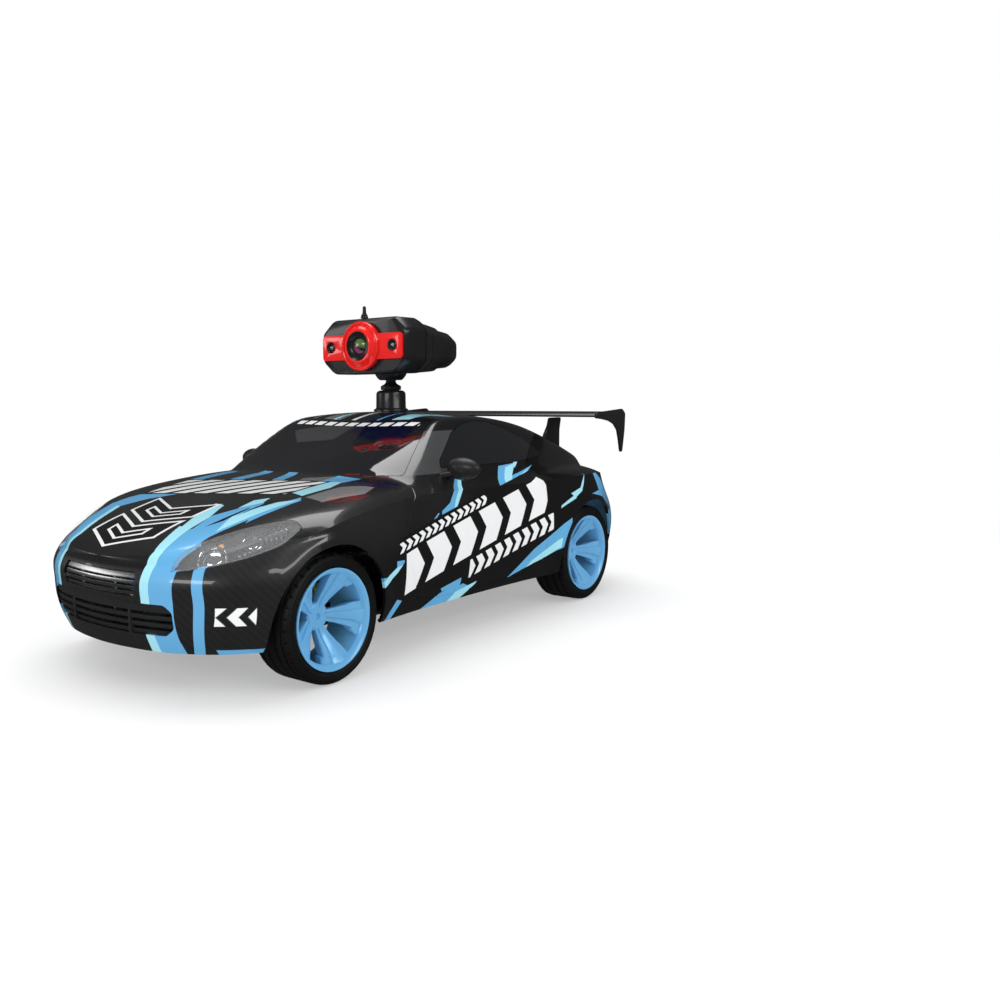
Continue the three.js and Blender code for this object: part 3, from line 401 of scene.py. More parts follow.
# body paint with its printed livery
livery = {
    "black": (0.005, 0.005, 0.0054),
    "carbon": (0.026, 0.026, 0.027),
    "sky": (0.115, 0.40, 0.70),
    "ice": (0.36, 0.74, 0.86),
    "grey": (0.17, 0.175, 0.18),
    "slate": (0.055, 0.056, 0.058),
    "navy": (0.006, 0.006, 0.032),
    "white": (0.86, 0.87, 0.88),
    "sideSky": [
        [(23.5, 95), (18, 94.5), (24.6, 85.8), (31, 88.8)],
        [(31, 88.8), (24.6, 85.8), (30, 79), (38, 72), (36.4, 82)],
        [(36.4, 82), (37.8, 72), (45, 69.8), (44.7, 78)],
        [(48.5, 77.2), (47, 77.2), (55.8, 70), (61, 69)],
        [(-26, 98.8), (-46.5, 99.5), (-32.5, 90), (-13.3, 85.7)],
        [(1, 83), (-1.2, 78.4), (-24, 86), (-12, 86.2)],
        [(-12, 86.2), (-24, 85.4), (-54, 92.2), (-53.8, 94.6), (-30, 91.5)],
        [(-53, 94.6), (-53, 92), (-68, 97)],
        [(108, 49), (102.5, 48.8), (89, 55.8), (89, 49.2), (108, 39.5)],
        [(89, 55.8), (80.5, 55.4), (89, 49)],
        [(86.6, 34.3), (81.9, 32.8), (90.5, 24), (97, 22.8)],
        [(67, 22), (44.5, 30.7), (24.3, 33.4), (14.5, 29.6), (33, 22)],
        [(44.6, 33.3), (25.4, 36.9), (25.2, 32.5), (43.3, 31.2)],
        [(10, 21.5), (-24, 29), (-50, 44.5), (-90, 61), (-92, 21.5)],
        [(-122, 88.5), (-127, 88.5), (-148, 75.4), (-129.6, 76.2)],
        [(-112.3, 74.7), (-129.7, 76.4), (-147, 75), (-163.5, 65.5), (-132, 71.9)],
        [(-148, 75.4), (-160, 60.8), (-145.5, 64.5), (-132.2, 72.4)],
        [(-147, 60), (-178, 66), (-215, 60), (-215, 34), (-154, 42)],
    ],
    "sideIce": [
        [(21.2, 94.6), (18, 94.5), (24.6, 85.8), (27.2, 88)],
        [(27.2, 88), (24.6, 85.8), (30.6, 78.2), (34, 75), (30.7, 83)],
        [(-33.3, 97.6), (-47, 99.5), (-33.6, 90.3), (-25, 87.9), (-23.8, 89.2)],
        [(-44, 96.5), (-50, 99.5), (-62, 105.8), (-46.7, 102.6)],
        [(-40, 90.6), (-40, 89.2), (-66, 96.4)],
        [(108, 44), (89, 52.4), (83.5, 53), (89, 49.2), (108, 39.5)],
        [(38, 23), (28.6, 28.8), (8.7, 32.2), (9.8, 30.7), (26, 22.8)],
        [(-43.3, 33.2), (-49.8, 37.8), (-67.5, 44.2), (-80, 49), (-79, 42), (-62.4, 37.2)],
        [(-109.6, 89.2), (-107.6, 82.9), (-104.6, 78), (-102, 78.6), (-105, 83)],
        [(-91.4, 77), (-102.5, 80), (-105.2, 78.1), (-96.3, 73.8)],
        [(-96.2, 76), (-97.3, 73.5), (-78.6, 68.2), (-79.4, 70)],
    ],
    # black ground behind the rows on the doors
    "doorField": [
        [(86, 34.5), (80, 66), (-2, 86), (-68, 95), (-56, 60), (20, 41)],
        [(26, 32.2), (22, 48), (-74, 72), (-66, 51)],
        [(88, 57), (86, 67), (2, 85.4), (-4, 78)],
    ],
    "sideBlack": [[(-60, 37), (-80, 40.2), (-80, 37)], [(-30, 24), (-66, 31), (-36, 27.6)]],
    "topSky": [
        [(216, 38.5), (200, 38.3), (200, 50.8), (216, 50.8)],
        [(201, 38.3), (181, 33.6), (172, 44), (184, 52), (201, 51)],
        [(183, 36), (164, 31.2), (140, 44), (157, 58), (184, 51.8)],
        [(166, 58.5), (150, 52), (127, 58), (132, 62.6), (150, 61)],
        [(216, -37.5), (196, -37.3), (193, -48.4), (216, -49.5)],
        [(197, -37.3), (180, -44.2), (178, -57), (193, -48.4)],
        [(181, -43.8), (164, -48.9), (160, -62), (179, -57)],
        [(165, -48.9), (150, -38.5), (150, -58), (162, -62)],
        [(151, -38.5), (138, -25), (141, -52), (151, -58)],
        [(76, -57), (80, -45), (128, -46.5), (131, -53.5)],
        [(76, -24), (76, -15), (104, -16.6), (103, -26.5)],
        [(76, -2), (76, 5.5), (99, 13), (102, 5.5)],
        [(92, 38), (76, 36), (76, 54), (90, 53)],
    ],
    "topIce": [
        [(216, 33.6), (200, 33.4), (200, 38.6), (216, 38.6)],
        [(201, 33), (195.9, 30.4), (178.8, 24.2), (181, 33.6), (201, 38.6)],
        [(181, 24.8), (164, 20), (148.3, 13.6), (150, 24), (166, 31.6), (181, 33.8)],
        [(178, 51), (162, 44), (138, 52), (131, 61)],
        [(152, 37), (139, 35), (133, 41), (141, 44)],
        [(121, 45), (92, 38.5), (90, 52), (104, 56.7), (124.5, 56)],
        [(216, -37), (196, -36.8), (194, -40.4), (216, -40.4)],
        [(196, -37), (164, -48.5), (164, -52.5), (195, -40.6)],
    ],
    "topGrey": [
        [(118, 31), (88, 20.4), (78, 36), (114.5, 43)],
        [(126, 60), (100, 60), (84, 72), (100, 78), (128, 74)],
    ],
    "topNavy": [[(81.7, 54), (64, 74), (84, 76), (97, 59.5)], [(76, 55), (76, 70), (95, 60), (88, 54)]],
    "topBlack": [
        [(176, 40), (150, 43.2), (150, 44.6), (168, 44)],
        [(140, 46), (134, 50), (160, 46.2)],
    ],
    "roofBands": [
        ("ice", -58, -48), ("grey", -37, -34), ("grey", -25, -9), ("ice", -16, -13), ("white", 1, 4.5),
        ("navy", 6, 22), ("sky", 22, 24.5), ("navy", 24.5, 34), ("ice", 34, 47), ("navy", 47, 53),
    ],
    "roofFrom": -12, "roofTo": 26, "roofLean": 0.55,
    "riseOfRows": 0.225,
    # printed rows on the doors: low edge, high edge, front, back, pitch, share, lean
    "bigRow": (53.5, 76.5, 80, -64, 26, 0.66, 0.62),
    "smallRow": (39.5, 50.5, 18, -70, 9.5, 0.6, 0.7),
    "thinRow": (78.4, 84, 86, 0, 6.2, 0.42, 1.1),
    "weavePitch": 1.7,
}


def printedRow(row, x, lifted):
    low, high, front, back, pitch, share, lean = row
    middle = (low + high) / 2
    half = (high - low) / 2
    across = abs(lifted - middle)
    along = front - x
    body = across.below(half).least(along.above(0)).least(along.below(front - back))
    bars = (along + across * lean).repeat(pitch)
    return body, bars.below(share, 0.4 / pitch)


def makeBodyPaint():
    recipe = Recipe("bodyPaint", livery["black"], 0.3, Coat_Weight=0.85, Coat_Roughness=0.045)
    x, y, z = recipe.place()
    side = abs(y)
    tone = {key: value for key, value in livery.items() if isinstance(value, tuple) and len(value) == 3}
    onTop = recipe.maths("MULTIPLY_ADD", x, -0.105, 92.4).most(63.4).least(81.5)
    top = (z - onTop).above(0, 0.2).most(side.below(51.4).least(x.above(190)))
    front = x.above(60).least(top)
    low = z.below(112)

    # woven carbon print on the bumper and over the front wheels
    weave = (x * 0.8 - y * 0.8 + z * 1.15) * (fullTurn / livery["weavePitch"])
    cross = (x * 0.8 - y * 0.8 - z * 1.15) * (fullTurn / livery["weavePitch"] / 3)
    thread = weave.wave() * 0.5 + 0.5
    patchwork = cross.wave().above(0, 0.6)
    woven = (x - z * 0.35).above(124, 3).least(z.below(84, 6)) * (1 - front * z.above(62.5, 1))
    base = recipe.mixed(woven * thread * (patchwork * 0.4 + 0.6), tone["black"], tone["carbon"])
    # painted sheen: paler slate patches on the upper front surfaces of the black paint, standing in for
    # reflected light
    paintedSheen = recipe.noise(0.02, 3)
    base = recipe.mixed((x - 40).above(0, 90).least((z - 70).above(0, 30)) * paintedSheen * 0.55, base,
        tone["slate"])

    # slashes and rows on the flanks
    flank = low * (1 - top).most(side.above(73).least(x.below(100))).most(x.below(-60))
    for key, ink in (("sideSky", "sky"), ("sideIce", "ice"), ("sideBlack", "black")):
        base = recipe.mixed(flank * recipe.patches(livery[key], x, z), base, tone[ink])
    lifted = z + x * livery["riseOfRows"]
    onDoor = side.above(60, 1) * low
    base = recipe.mixed(recipe.patches(livery["doorField"], x, z) * side.above(70, 1), base, tone["black"])
    for key in ("bigRow", "smallRow", "thinRow"):
        band, bars = printedRow(livery[key], x, lifted)
        printed = 1 - bars if key == "thinRow" else bars
        base = recipe.mixed(onDoor * band * printed, base, tone["white"])

    # bumper corner stripe, lip line and the pair of marks behind it
    stripeAt = side - recipe.maths("MULTIPLY_ADD", (z - 48) * (z - 48), -0.0085, 62.2)
    corner = abs(stripeAt).below(2.3) * x.above(170) * z.below(65.5, 0.3)
    edgeLine = z.below(24.6, 0.4) * x.above(174) * side.above(64)
    base = recipe.mixed(corner.most(edgeLine), base, tone["sky"])
    markAlong = abs(x - 187.5)
    marks = (x + abs(z - 41.6) * 0.75 + 1.5).repeat(7.2)
    marks = marks.above(0.2, 0.06) * marks.below(0.72, 0.06)
    base = recipe.mixed(marks * markAlong.below(6.9) * abs(z - 41.6).below(4.4) * side.above(66), base,
        tone["white"])

    # bonnet and nose
    roofArea = z.above(122, 0.4)
    bonnet = front * low
    striped = front.most(z.below(33) * x.above(190) * side.below(52)) * low
    for key, ink, area in (
        ("topGrey", "grey", bonnet), ("topNavy", "navy", bonnet), ("topSky", "sky", striped),
        ("topIce", "ice", striped), ("topBlack", "black", front),
    ):
        base = recipe.mixed(area * recipe.patches(livery[key], x, y), base, tone[ink])
    # slanted white bars across the bonnet, then two outlined arrowheads in front of them
    barRow = x - recipe.maths("MULTIPLY_ADD", y, -0.2, 117)
    bars = (y + barRow * 0.85 + 80).repeat(15)
    barField = abs(barRow).below(16) * abs(y + 5).below(48)
    base = recipe.mixed(front * abs(barRow).below(18) * abs(y + 5).below(50), base, tone["black"])
    base = recipe.mixed(front * barField * bars.below(0.64, 0.03), base, tone["white"])
    head = x + abs(y + 6) * 0.45
    arrows = ((10, 27, "white"), (8.2, 25, "black"), (3.4, 15.5, "white"), (1.8, 13.6, "black"))
    for tip in (199, 175):
        for reach, half, ink in arrows:
            arrow = abs(head - (tip - 4.5)).below(reach) * abs(y + 6).below(half)
            base = recipe.mixed(front * arrow, base, tone[ink])

    # roof bands over the windscreen
    bandSpot = y + x * livery["roofLean"]
    ahead = x.above(livery["roofFrom"], 0.3).least(x.below(livery["roofTo"], 0.3)).least(roofArea)
    for key, start, stop in livery["roofBands"]:
        across = bandSpot.above(start, 0.3).least(bandSpot.below(stop, 0.3))
        base = recipe.mixed(ahead * across, base, tone[key])
    # grey pillars and drip rail
    pillar = z.above(98.5, 0.3) * (1 - roofArea) * x.above(4)
    base = recipe.mixed(pillar, base, tone["slate"])
    recipe.colour(base)
    recipe.gloss(recipe.noise(0.35, 3) * 0.1 + 0.2 + woven * 0.12)
    recipe.relief(thread * woven * 0.5, 0.06)
    return recipe.material


def makeGlazing():
    recipe = Recipe("tintedGlazing", (0.008, 0.0085, 0.0095), 0.06, Coat_Weight=1.0, Coat_Roughness=0.02)
    x, y, z = recipe.place()
    # white dashes under the roof edge, as on the body's own header
    ahead = x.above(0) * z.above(112)
    line = x + (y * y) * 0.0006
    run = abs(line - 21.6).below(2.1)
    dashes = (y + (x - 19) * 0.5 + 90).repeat(9.5).below(0.72, 0.03)
    base = recipe.mixed(recipe.noise(0.012, 2) * 0.7, (0.006, 0.0065, 0.008), (0.02, 0.0205, 0.022))
    navy = recipe.patches([[(30, 4), (22, 8), (22, 50), (34, 52), (40, 30)]], x, y)
    base = recipe.mixed(navy * ahead * 0.9, base, (0.002, 0.002, 0.02))
    # painted reflection: a paler grey patch on one side of the windscreen
    shine = recipe.patches([[(30, -46), (22, -14), (22, 2), (40, -2), (44, -30)]], x, y)
    base = recipe.mixed(shine * ahead * 0.8, base, (0.05, 0.05, 0.052))
    base = recipe.mixed(ahead * run * dashes * abs(y).below(52), base, livery["white"])
    recipe.colour(base)
    recipe.gloss(recipe.noise(0.05, 2) * 0.06 + 0.03)
    return recipe.material


def makeSimple(name, colour, second, roughness, metallic=0.0, grain=1.2, depth=0.02, spread=0.25, **fixed):
    # moulded or plated finish: slow tone drift, fine grain and uneven gloss
    recipe = Recipe(name, colour, roughness, metallic, **fixed)
    recipe.place()
    drift = recipe.noise(0.06, 3)
    fine = recipe.noise(grain, 4, 0.6)
    recipe.colour(recipe.mixed(drift * 0.6 + fine * 0.4, colour, second))
    recipe.gloss(fine * spread * roughness + roughness * (1 - spread / 2))
    recipe.relief(fine, depth)
    return recipe.material


def makeTyreRubber():
    recipe = Recipe("tyreRubber", (0.006, 0.006, 0.006), 0.5)
    recipe.place()
    fine = recipe.noise(2.2, 4, 0.65)
    dust = recipe.noise(0.09, 3).above(0.56, 0.3)
    recipe.colour(recipe.mixed(dust * 0.3, (0.004, 0.004, 0.0042), (0.012, 0.0118, 0.0115)))
    recipe.gloss(fine * 0.2 + 0.46)
    recipe.relief(fine, 0.05)
    return recipe.material


def makeBoard():
    recipe = Recipe("boardGreen", (0.01, 0.16, 0.06), 0.35, Coat_Weight=0.3)
    x, y, z = recipe.place()
    tracks = (x + abs((y * 0.35).wave()) * 3).repeat(3.1).below(0.3, 0.05)
    pads = recipe.cells(0.28).below(0.06, 0.03)
    chips = z.above(33.2)
    base = recipe.mixed(tracks, (0.008, 0.12, 0.045), (0.02, 0.24, 0.09))
    base = recipe.mixed(pads * 0.8, base, (0.65, 0.5, 0.2))
    base = recipe.mixed(chips, base,
        recipe.mixed(recipe.noise(0.2, 2).above(0.55, 0.1), (0.012, 0.012, 0.014), (0.16, 0.16, 0.17)))
    recipe.colour(base)
    recipe.gloss(chips * 0.15 + 0.3)
    recipe.relief(tracks, 0.05)
    return recipe.material


def makeBattery():
    recipe = Recipe("batteryWrap", (0.03, 0.12, 0.42), 0.35, Coat_Weight=0.4)
    x, y, z = recipe.place()
    band = abs(x - 10).below(26)
    stripes = (x + z).repeat(9).below(0.3, 0.05) * (1 - band)
    wrinkle = recipe.noise(0.16, 3)
    base = recipe.mixed(band, (0.02, 0.085, 0.34), (0.03, 0.03, 0.034))
    base = recipe.mixed(stripes, base, (0.75, 0.62, 0.05))
    recipe.colour(base)
    recipe.gloss(wrinkle * 0.2 + 0.25)
    recipe.relief(wrinkle + (x.repeat(17).above(0.93, 0.05)), 0.25)
    return recipe.material


def makeCameraRed():
    recipe = Recipe("cameraRed", (0.86, 0.012, 0.01), 0.2, Coat_Weight=0.7, Coat_Roughness=0.05)
    recipe.place()
    fine = recipe.noise(0.8, 3)
    recipe.colour(recipe.mixed(recipe.noise(0.08, 2), (0.78, 0.006, 0.006), (0.92, 0.02, 0.014)))
    recipe.gloss(fine * 0.06 + 0.18)
    recipe.relief(fine, 0.012)
    return recipe.material


def makeLensGlass():
    recipe = Recipe("lensGlass", (0.004, 0.006, 0.006), 0.03, Coat_Weight=1.0, Coat_Roughness=0.01)
    x, y, z = recipe.place()
    # the coating's green and rose bloom on opposite sides, painted in as reflections
    spot = recipe.noise(0.25, 2)
    green = (z + y * 0.4 - 174 + spot * 2).above(1.2, 2.2)
    rose = (z + y * 0.6 - 174 - spot).below(-2.2, 2)
    base = recipe.mixed(green, (0.003, 0.004, 0.005), (0.10, 0.17, 0.05))
    base = recipe.mixed(rose, base, (0.24, 0.05, 0.13))
    recipe.colour(base)
    return recipe.material


def makeLampCover():
    # thin clear plastic: nearly all of it is seen through, with a faint gloss on top
    recipe = Recipe("clearLens", (0.9, 0.92, 0.93), 0.04, IOR=1.45)
    recipe.place()
    recipe.feed(recipe.shader.inputs["Alpha"], recipe.noise(0.04, 2) * 0.04 + 0.06)
    recipe.gloss(recipe.noise(0.3, 2) * 0.03 + 0.02)
    recipe.colour(recipe.mixed(recipe.noise(0.1, 2), (0.86, 0.88, 0.9), (0.95, 0.97, 0.98)))
    return recipe.material


def makeLampRed():
    recipe = Recipe("lampRed", (0.32, 0.006, 0.01), 0.08, Coat_Weight=1.0, Coat_Roughness=0.02)
    x, y, z = recipe.place()
    ribs = (y.repeat(2.4) - 0.5) * 2
    cell = abs(ribs).most(abs((z.repeat(2.4) - 0.5) * 2))
    recipe.colour(recipe.mixed(cell, (0.42, 0.008, 0.012), (0.16, 0.003, 0.006)))
    recipe.relief(cell, 0.3)
    return recipe.material


paint = {
    "body": makeBodyPaint(),
    "glazing": makeGlazing(),
    "clear": makeLampCover(),
    "amber": makeSimple("amberBead", (0.85, 0.3, 0.01), (0.95, 0.42, 0.02), 0.15, grain=0.8, depth=0.01,
        Coat_Weight=0.6),
    "chrome": makeSimple("brightChrome", (0.72, 0.73, 0.75), (0.86, 0.87, 0.88), 0.1, 1.0, grain=0.5,
        depth=0.006),
    "smoked": makeSimple("smokedChrome", (0.34, 0.34, 0.35), (0.55, 0.55, 0.56), 0.26, 1.0, grain=0.9,
        depth=0.01),
    "lampRed": makeLampRed(),
    "trim": makeSimple("blackTrim", (0.012, 0.012, 0.0125), (0.02, 0.02, 0.021), 0.42, grain=2.0,
        depth=0.03,
        Coat_Weight=0.15),
    "wing": makeSimple("wingBlack", (0.009, 0.009, 0.0095), (0.016, 0.016, 0.017), 0.34, grain=1.6,
        depth=0.02,
        Coat_Weight=0.3),
    "cameraBlack": makeSimple("cameraBlack", (0.008, 0.008, 0.0085), (0.014, 0.014, 0.015), 0.3, grain=1.8,
        depth=0.018, Coat_Weight=0.25),
    "cameraRed": makeCameraRed(),
    "lens": makeLensGlass(),
    "chassis": makeSimple("chassisBlack", (0.014, 0.014, 0.015), (0.026, 0.026, 0.027), 0.55, grain=1.4,
        depth=0.05),
    "battery": makeBattery(),
    "board": makeBoard(),
    "steel": makeSimple("platedSteel", (0.42, 0.42, 0.43), (0.6, 0.6, 0.61), 0.26, 1.0, grain=1.2,
        depth=0.01),
    "lime": makeSimple("limePlastic", (0.42, 0.62, 0.012), (0.55, 0.75, 0.03), 0.38, grain=1.0, depth=0.02,
        Subsurface_Weight=0.08),
    "nylon": makeSimple("naturalNylon", (0.66, 0.63, 0.53), (0.78, 0.75, 0.66), 0.42, grain=1.0,
        depth=0.02),
    "rim": makeSimple("rimBlue", (0.15, 0.45, 0.78), (0.2, 0.54, 0.88), 0.3, 0.2, grain=0.9, depth=0.012,
        Coat_Weight=0.35, Coat_Roughness=0.1),
    "tyre": makeTyreRubber(),
}
print("materials ready:", len(paint))


# the coupe shell: a grid laid over fair lines
def fairLine(knots):
    count = len(knots)
    slope = []
    for i in range(count):
        a, b = knots[max(i - 1, 0)], knots[min(i + 1, count - 1)]
        slope.append((b[1] - a[1]) / (b[0] - a[0]))

    def line(at):
        i = 0
        while i < count - 2 and at > knots[i + 1][0]:
            i += 1
        (x0, y0), (x1, y1) = knots[i], knots[i + 1]
        width = x1 - x0
        t = min(1, max(0, (at - x0) / width))
        t2, t3 = t * t, t * t * t
        return ((2 * t3 - 3 * t2 + 1) * y0 + (t3 - 2 * t2 + t) * width * slope[i]
            + (3 * t2 - 2 * t3) * y1 + (t3 - t2) * width * slope[i + 1])
    return line


def mix(a, b, t):
    return a + (b - a) * t


def ramp(start, end, at):
    t = min(1, max(0, (at - start) / (end - start)))
    return t * t * (3 - 2 * t)


def softMin(a, b, k):
    h = max(k - abs(a - b), 0) / k
    return min(a, b) - h * h * k / 4


def softMax(a, b, k):
    return -softMin(-a, -b, k)


body = {
    "nose": 214.3, "tail": -213.8, "skin": 1.8, "belt": 97, "slope": 1.45, "roof": 132.5,
    "axles": (137, -119), "axleZ": 33, "arch": 38, "stations": 168, "side": 34, "top": 46,
}
noseX, tailX, roofZ = body["nose"], body["tail"], body["roof"]
planPoints = [
    (noseX, 0), (noseX - 1.4, 20), (noseX - 4.6, 38), (noseX - 9.6, 52), (noseX - 17.6, 66),
    (noseX - 27.1, 77),
    (noseX - 40.6, 86.5), (noseX - 56.6, 92), (137, 94.5), (105, 92), (60, 88.5), (10, 88), (-40, 89.5),
    (-85, 93),
    (-119, 94.5), (-150, 89.5), (-175, 79.5), (-193, 66.5), (-205, 50), (-211.5, 28), (tailX, 0),
]


def planLine():
    points = [(planPoints[1][0], -planPoints[1][1])] + planPoints + [(planPoints[-2][0],
        -planPoints[-2][1])]
    along = [0]
    for a, b in zip(points, points[1:]):
        along.append(along[-1] + math.dist(a, b))
    start, length = along[1], along[-2] - along[1]
    x = fairLine([(d, p[0]) for d, p in zip(along, points)])
    half = fairLine([(d, p[1]) for d, p in zip(along, points)])
    return lambda s: (x(start + s * length), max(0, half(start + s * length)))


plan = planLine()
noseSetback = fairLine([(18, 7), (24, 4.6), (31, 2.2), (38, 0.9), (47, 0.4), (56, 0), (62, 2.5), (66, 6),
    (70, 10), (76, 16)])
tailSetback = fairLine([(18, 12), (26, 6), (36, 1.5), (47, 0), (58, 2.5), (66, 8), (74, 17), (82, 27),
    (88, 33), (94, 36)])
shoulderZ = fairLine([
    (tailX, 84), (-190, 84), (-170, 86), (-150, 87.5), (-119, 88.5), (-85, 87.5), (-40, 87.5), (20, 88.5),
    (60, 88.5),
    (100, 86), (137, 81), (160, 76.5), (180, 72), (noseX - 14.6, 66.5), (noseX, 64),
])
deckCentre = fairLine([
    (tailX, 90), (-182, 92.5), (-150, 94), (-119, 95.5), (-60, 97), (0, 98.5), (60, 98.5), (80, 97.5),
    (110, 94), (130, 91),
    (150, 87), (170, 82), (185, 77.5), (noseX - 14.6, 71.5), (noseX - 5.6, 67), (noseX, 64.5),
])
deckCrown = fairLine([(tailX, 1), (-119, 3), (0, 2), (60, 2.5), (110, 0.5), (150, 0.5), (185, 2.5),
    (noseX, 1)])
roofLine = fairLine([
    (-198, 88), (-175, 98), (-150, 105), (-119, 115), (-85, roofZ - 7.7), (-50, roofZ - 1.7), (-15, roofZ),
    (20, roofZ - 0.5), (60, roofZ - 3.5), (90, roofZ - 9.5),
])
cabinHalf = fairLine([
    (-190, 46), (-150, 59.5), (-119, 67.5), (-90, 73), (-60, 77.5), (-20, 80.8), (20, 82), (60, 79),
    (85, 74),
])


def cabinZ(x, y):
    side = body["belt"] + (cabinHalf(x) - abs(y)) * body["slope"]
    across = (y / 72.6) ** 2
    screen = 97 - 2 * across + (80 - 15 * across - x) * (0.479 + 0.19 * across)
    roof = roofLine(x) - 3.2 * (y / 55) ** 2
    return softMin(softMin(roof, screen, 5), side, 3)


def topZ(x, y):
    return softMax(deckCentre(x) - deckCrown(x) * (y / 80) ** 2, cabinZ(x, y), 3)


def skinPoint(s, up):
    x0, w = plan(s)
    nose, tail = ramp(120, 200, x0), ramp(-125, -200, x0)
    bottom = 22 + 2 * ramp(200, 120, x0) + 2 * ramp(-120, -200, x0)
    shoulder = shoulderZ(x0)
    climb = min(up, 1)
    z = mix(bottom, shoulder, climb)
    tuck = mix(0.05, 0.075, nose) * max(0, 1 - climb / 0.5) ** 2 + 0.03 * max(0, (climb - 0.5) / 0.5) ** 2
    x = x0 - nose * noseSetback(z) + tail * tailSetback(z)
    edge = w * (1 - tuck)
    if up <= 1:
        return [x, edge, z]
    share = 2 - up
    y = edge * share
    return [x, y, topZ(x, y) - (topZ(x, edge) - shoulder) * share ** 9]


def archLip(x, y, z):
    # the bodywork swells a little round each wheel opening
    swell = 0
    for axle in body["axles"]:
        r = math.hypot(x - axle, z - body["axleZ"])
        if z > 24:
            swell = max(swell, 0.9 * ramp(44.5, 41.5, r) if r > 40 else 0.9)
    return swell if y > 60 else 0


def makeSkin():
    rows = [j / body["side"] for j in range(body["side"] + 1)]
    rows += [2 - (1 - j / body["top"]) ** 1.15 for j in range(1, body["top"] + 1)]
    half = len(rows) - 1
    across = half * 2
    stations = body["stations"]
    dropSelection()
    bpy.ops.mesh.primitive_grid_add(x_subdivisions=stations, y_subdivisions=across, size=1)
    skin = bpy.context.object
    skinRows = {}
    for vertex in skin.data.vertices:
        i = round((vertex.co.x + 0.5) * stations)
        j = round((vertex.co.y + 0.5) * across)
        mirror = j > half
        k = across - j if mirror else j
        if (i, k) not in skinRows:
            point = skinPoint(i / stations, rows[k])
            point[1] = 0 if k == half else point[1] + archLip(*point)
            skinRows[(i, k)] = point
        x, y, z = skinRows[(i, k)]
        vertex.co = Vector((x, -y if mirror else y, z)) * mm
    editAll(skin)
    closeEdit(0.01)
    return named(skin, "shellSkin")


skin = makeSkin()
probe = skin.data.polygons[len(skin.data.polygons) // 2]
facing = Vector((probe.center.x, probe.center.y, probe.center.z - 0.05)).dot(probe.normal)
print("skin", len(skin.data.vertices), "facing", facing > 0)
wallOuter = skin
wall = copyOf(skin)
useModifier(wall, "SOLIDIFY", thickness=body["skin"] * mm, offset=-1.0 if facing > 0 else 1.0,
    use_even_offset=True,
    use_quality_normals=True)
editAll(wall)
closeEdit(0.001)
print("wall", len(wall.data.polygons))


def shrunk(points, by):
    area = sum(p[0] * q[1] - q[0] * p[1] for p, q in zip(points, points[1:] + points[:1]))
    turn = 1 if area > 0 else -1
    made = []
    for a, p, b in zip(points[-1:] + points[:-1], points, points[1:] + points[:1]):
        ways = []
        for start, end in ((a, p), (p, b)):
            length = math.dist(start, end)
            ways.append((-(end[1] - start[1]) / length * turn, (end[0] - start[0]) / length * turn))
        scale = 1 + ways[0][0] * ways[1][0] + ways[0][1] * ways[1][1]
        made.append((p[0] + (ways[0][0] + ways[1][0]) / scale * by,
            p[1] + (ways[0][1] + ways[1][1]) / scale * by))
    return made


def bothSides(points):
    return points + [(a, -b) for a, b in reversed(points)]


def acrossNose(points):
    return points + [(-a, b) for a, b in reversed(points)]


def rounded(points, radius=2.2, steps=3):
    # each corner of an outline becomes a short arc
    made = []
    for a, p, b in zip(points[-1:] + points[:-1], points, points[1:] + points[:1]):
        back, ahead = math.dist(a, p), math.dist(p, b)
        reach = min(radius, back * 0.4, ahead * 0.4)
        start = (p[0] + (a[0] - p[0]) / back * reach, p[1] + (a[1] - p[1]) / back * reach)
        end = (p[0] + (b[0] - p[0]) / ahead * reach, p[1] + (b[1] - p[1]) / ahead * reach)
        for i in range(steps + 1):
            t = i / steps
            made.append(tuple((1 - t) ** 2 * start[k] + 2 * t * (1 - t) * p[k] + t * t * end[k] for k in (0,
                1)))
    return made


outlines = {
    "screen": bothSides([(16, 18), (14.5, 40), (13, 55), (59.5, 71), (68, 56), (74.5, 38), (78.5, 18)]),
    "rearGlass": bothSides([(-148, 20), (-146, 36), (-84, 47), (-78, 40), (-75, 18)]),
    "sideGlass": [(33, 101), (31, 105.5), (8, 120.5), (-8, 125.5), (-20, 127), (-37, 126), (-56, 121.5),
        (-72, 115),
        (-86, 108), (-88.5, 104), (-85, 101.5), (-50, 100)],
    "lampPlan": [(201, 47), (187, 52), (171, 61), (153, 75), (151, 79), (155, 100), (205, 100), (212, 52)],
    "lampSide": [(215, 60), (198, 63), (178, 68.5), (165, 73), (152, 80), (140, 100), (215, 100)],
    "tailLamp": [(47, 69), (50, 80), (66, 82.5), (90, 83), (90, 72), (70, 67)],
    "upperGrille": acrossNose([(29, 49.5), (31.5, 55), (29, 61)]),
    "lowerGrille": acrossNose([(45, 31), (50, 35), (50, 43), (46, 46.5)]),
}


def cutter(key, by=0.0, side=1):
    if key in ("screen", "rearGlass"):
        return prism("z", rounded(shrunk(outlines[key], by), 3), 85, 140)
    if key == "sideGlass":
        return prism("y", rounded(shrunk(outlines[key], by), 1.5), 45 * side, 100 * side)
    if key == "lamp":
        planShape = [(a, b * side) for a, b in shrunk(outlines["lampPlan"], by)]
        volume = prism("z", rounded(planShape, 2), 55, 105)
        other = prism("y", rounded(shrunk(outlines["lampSide"], by), 2), 30 * side, 110 * side)
        return carve(volume, [other], "INTERSECT")
    if key == "tailLamp":
        return prism("x", rounded([(a * side, b) for a, b in shrunk(outlines[key], by)], 1.5), -222, -160)
    return prism("x", rounded(shrunk(outlines[key], by), 1.6), 170, 222)


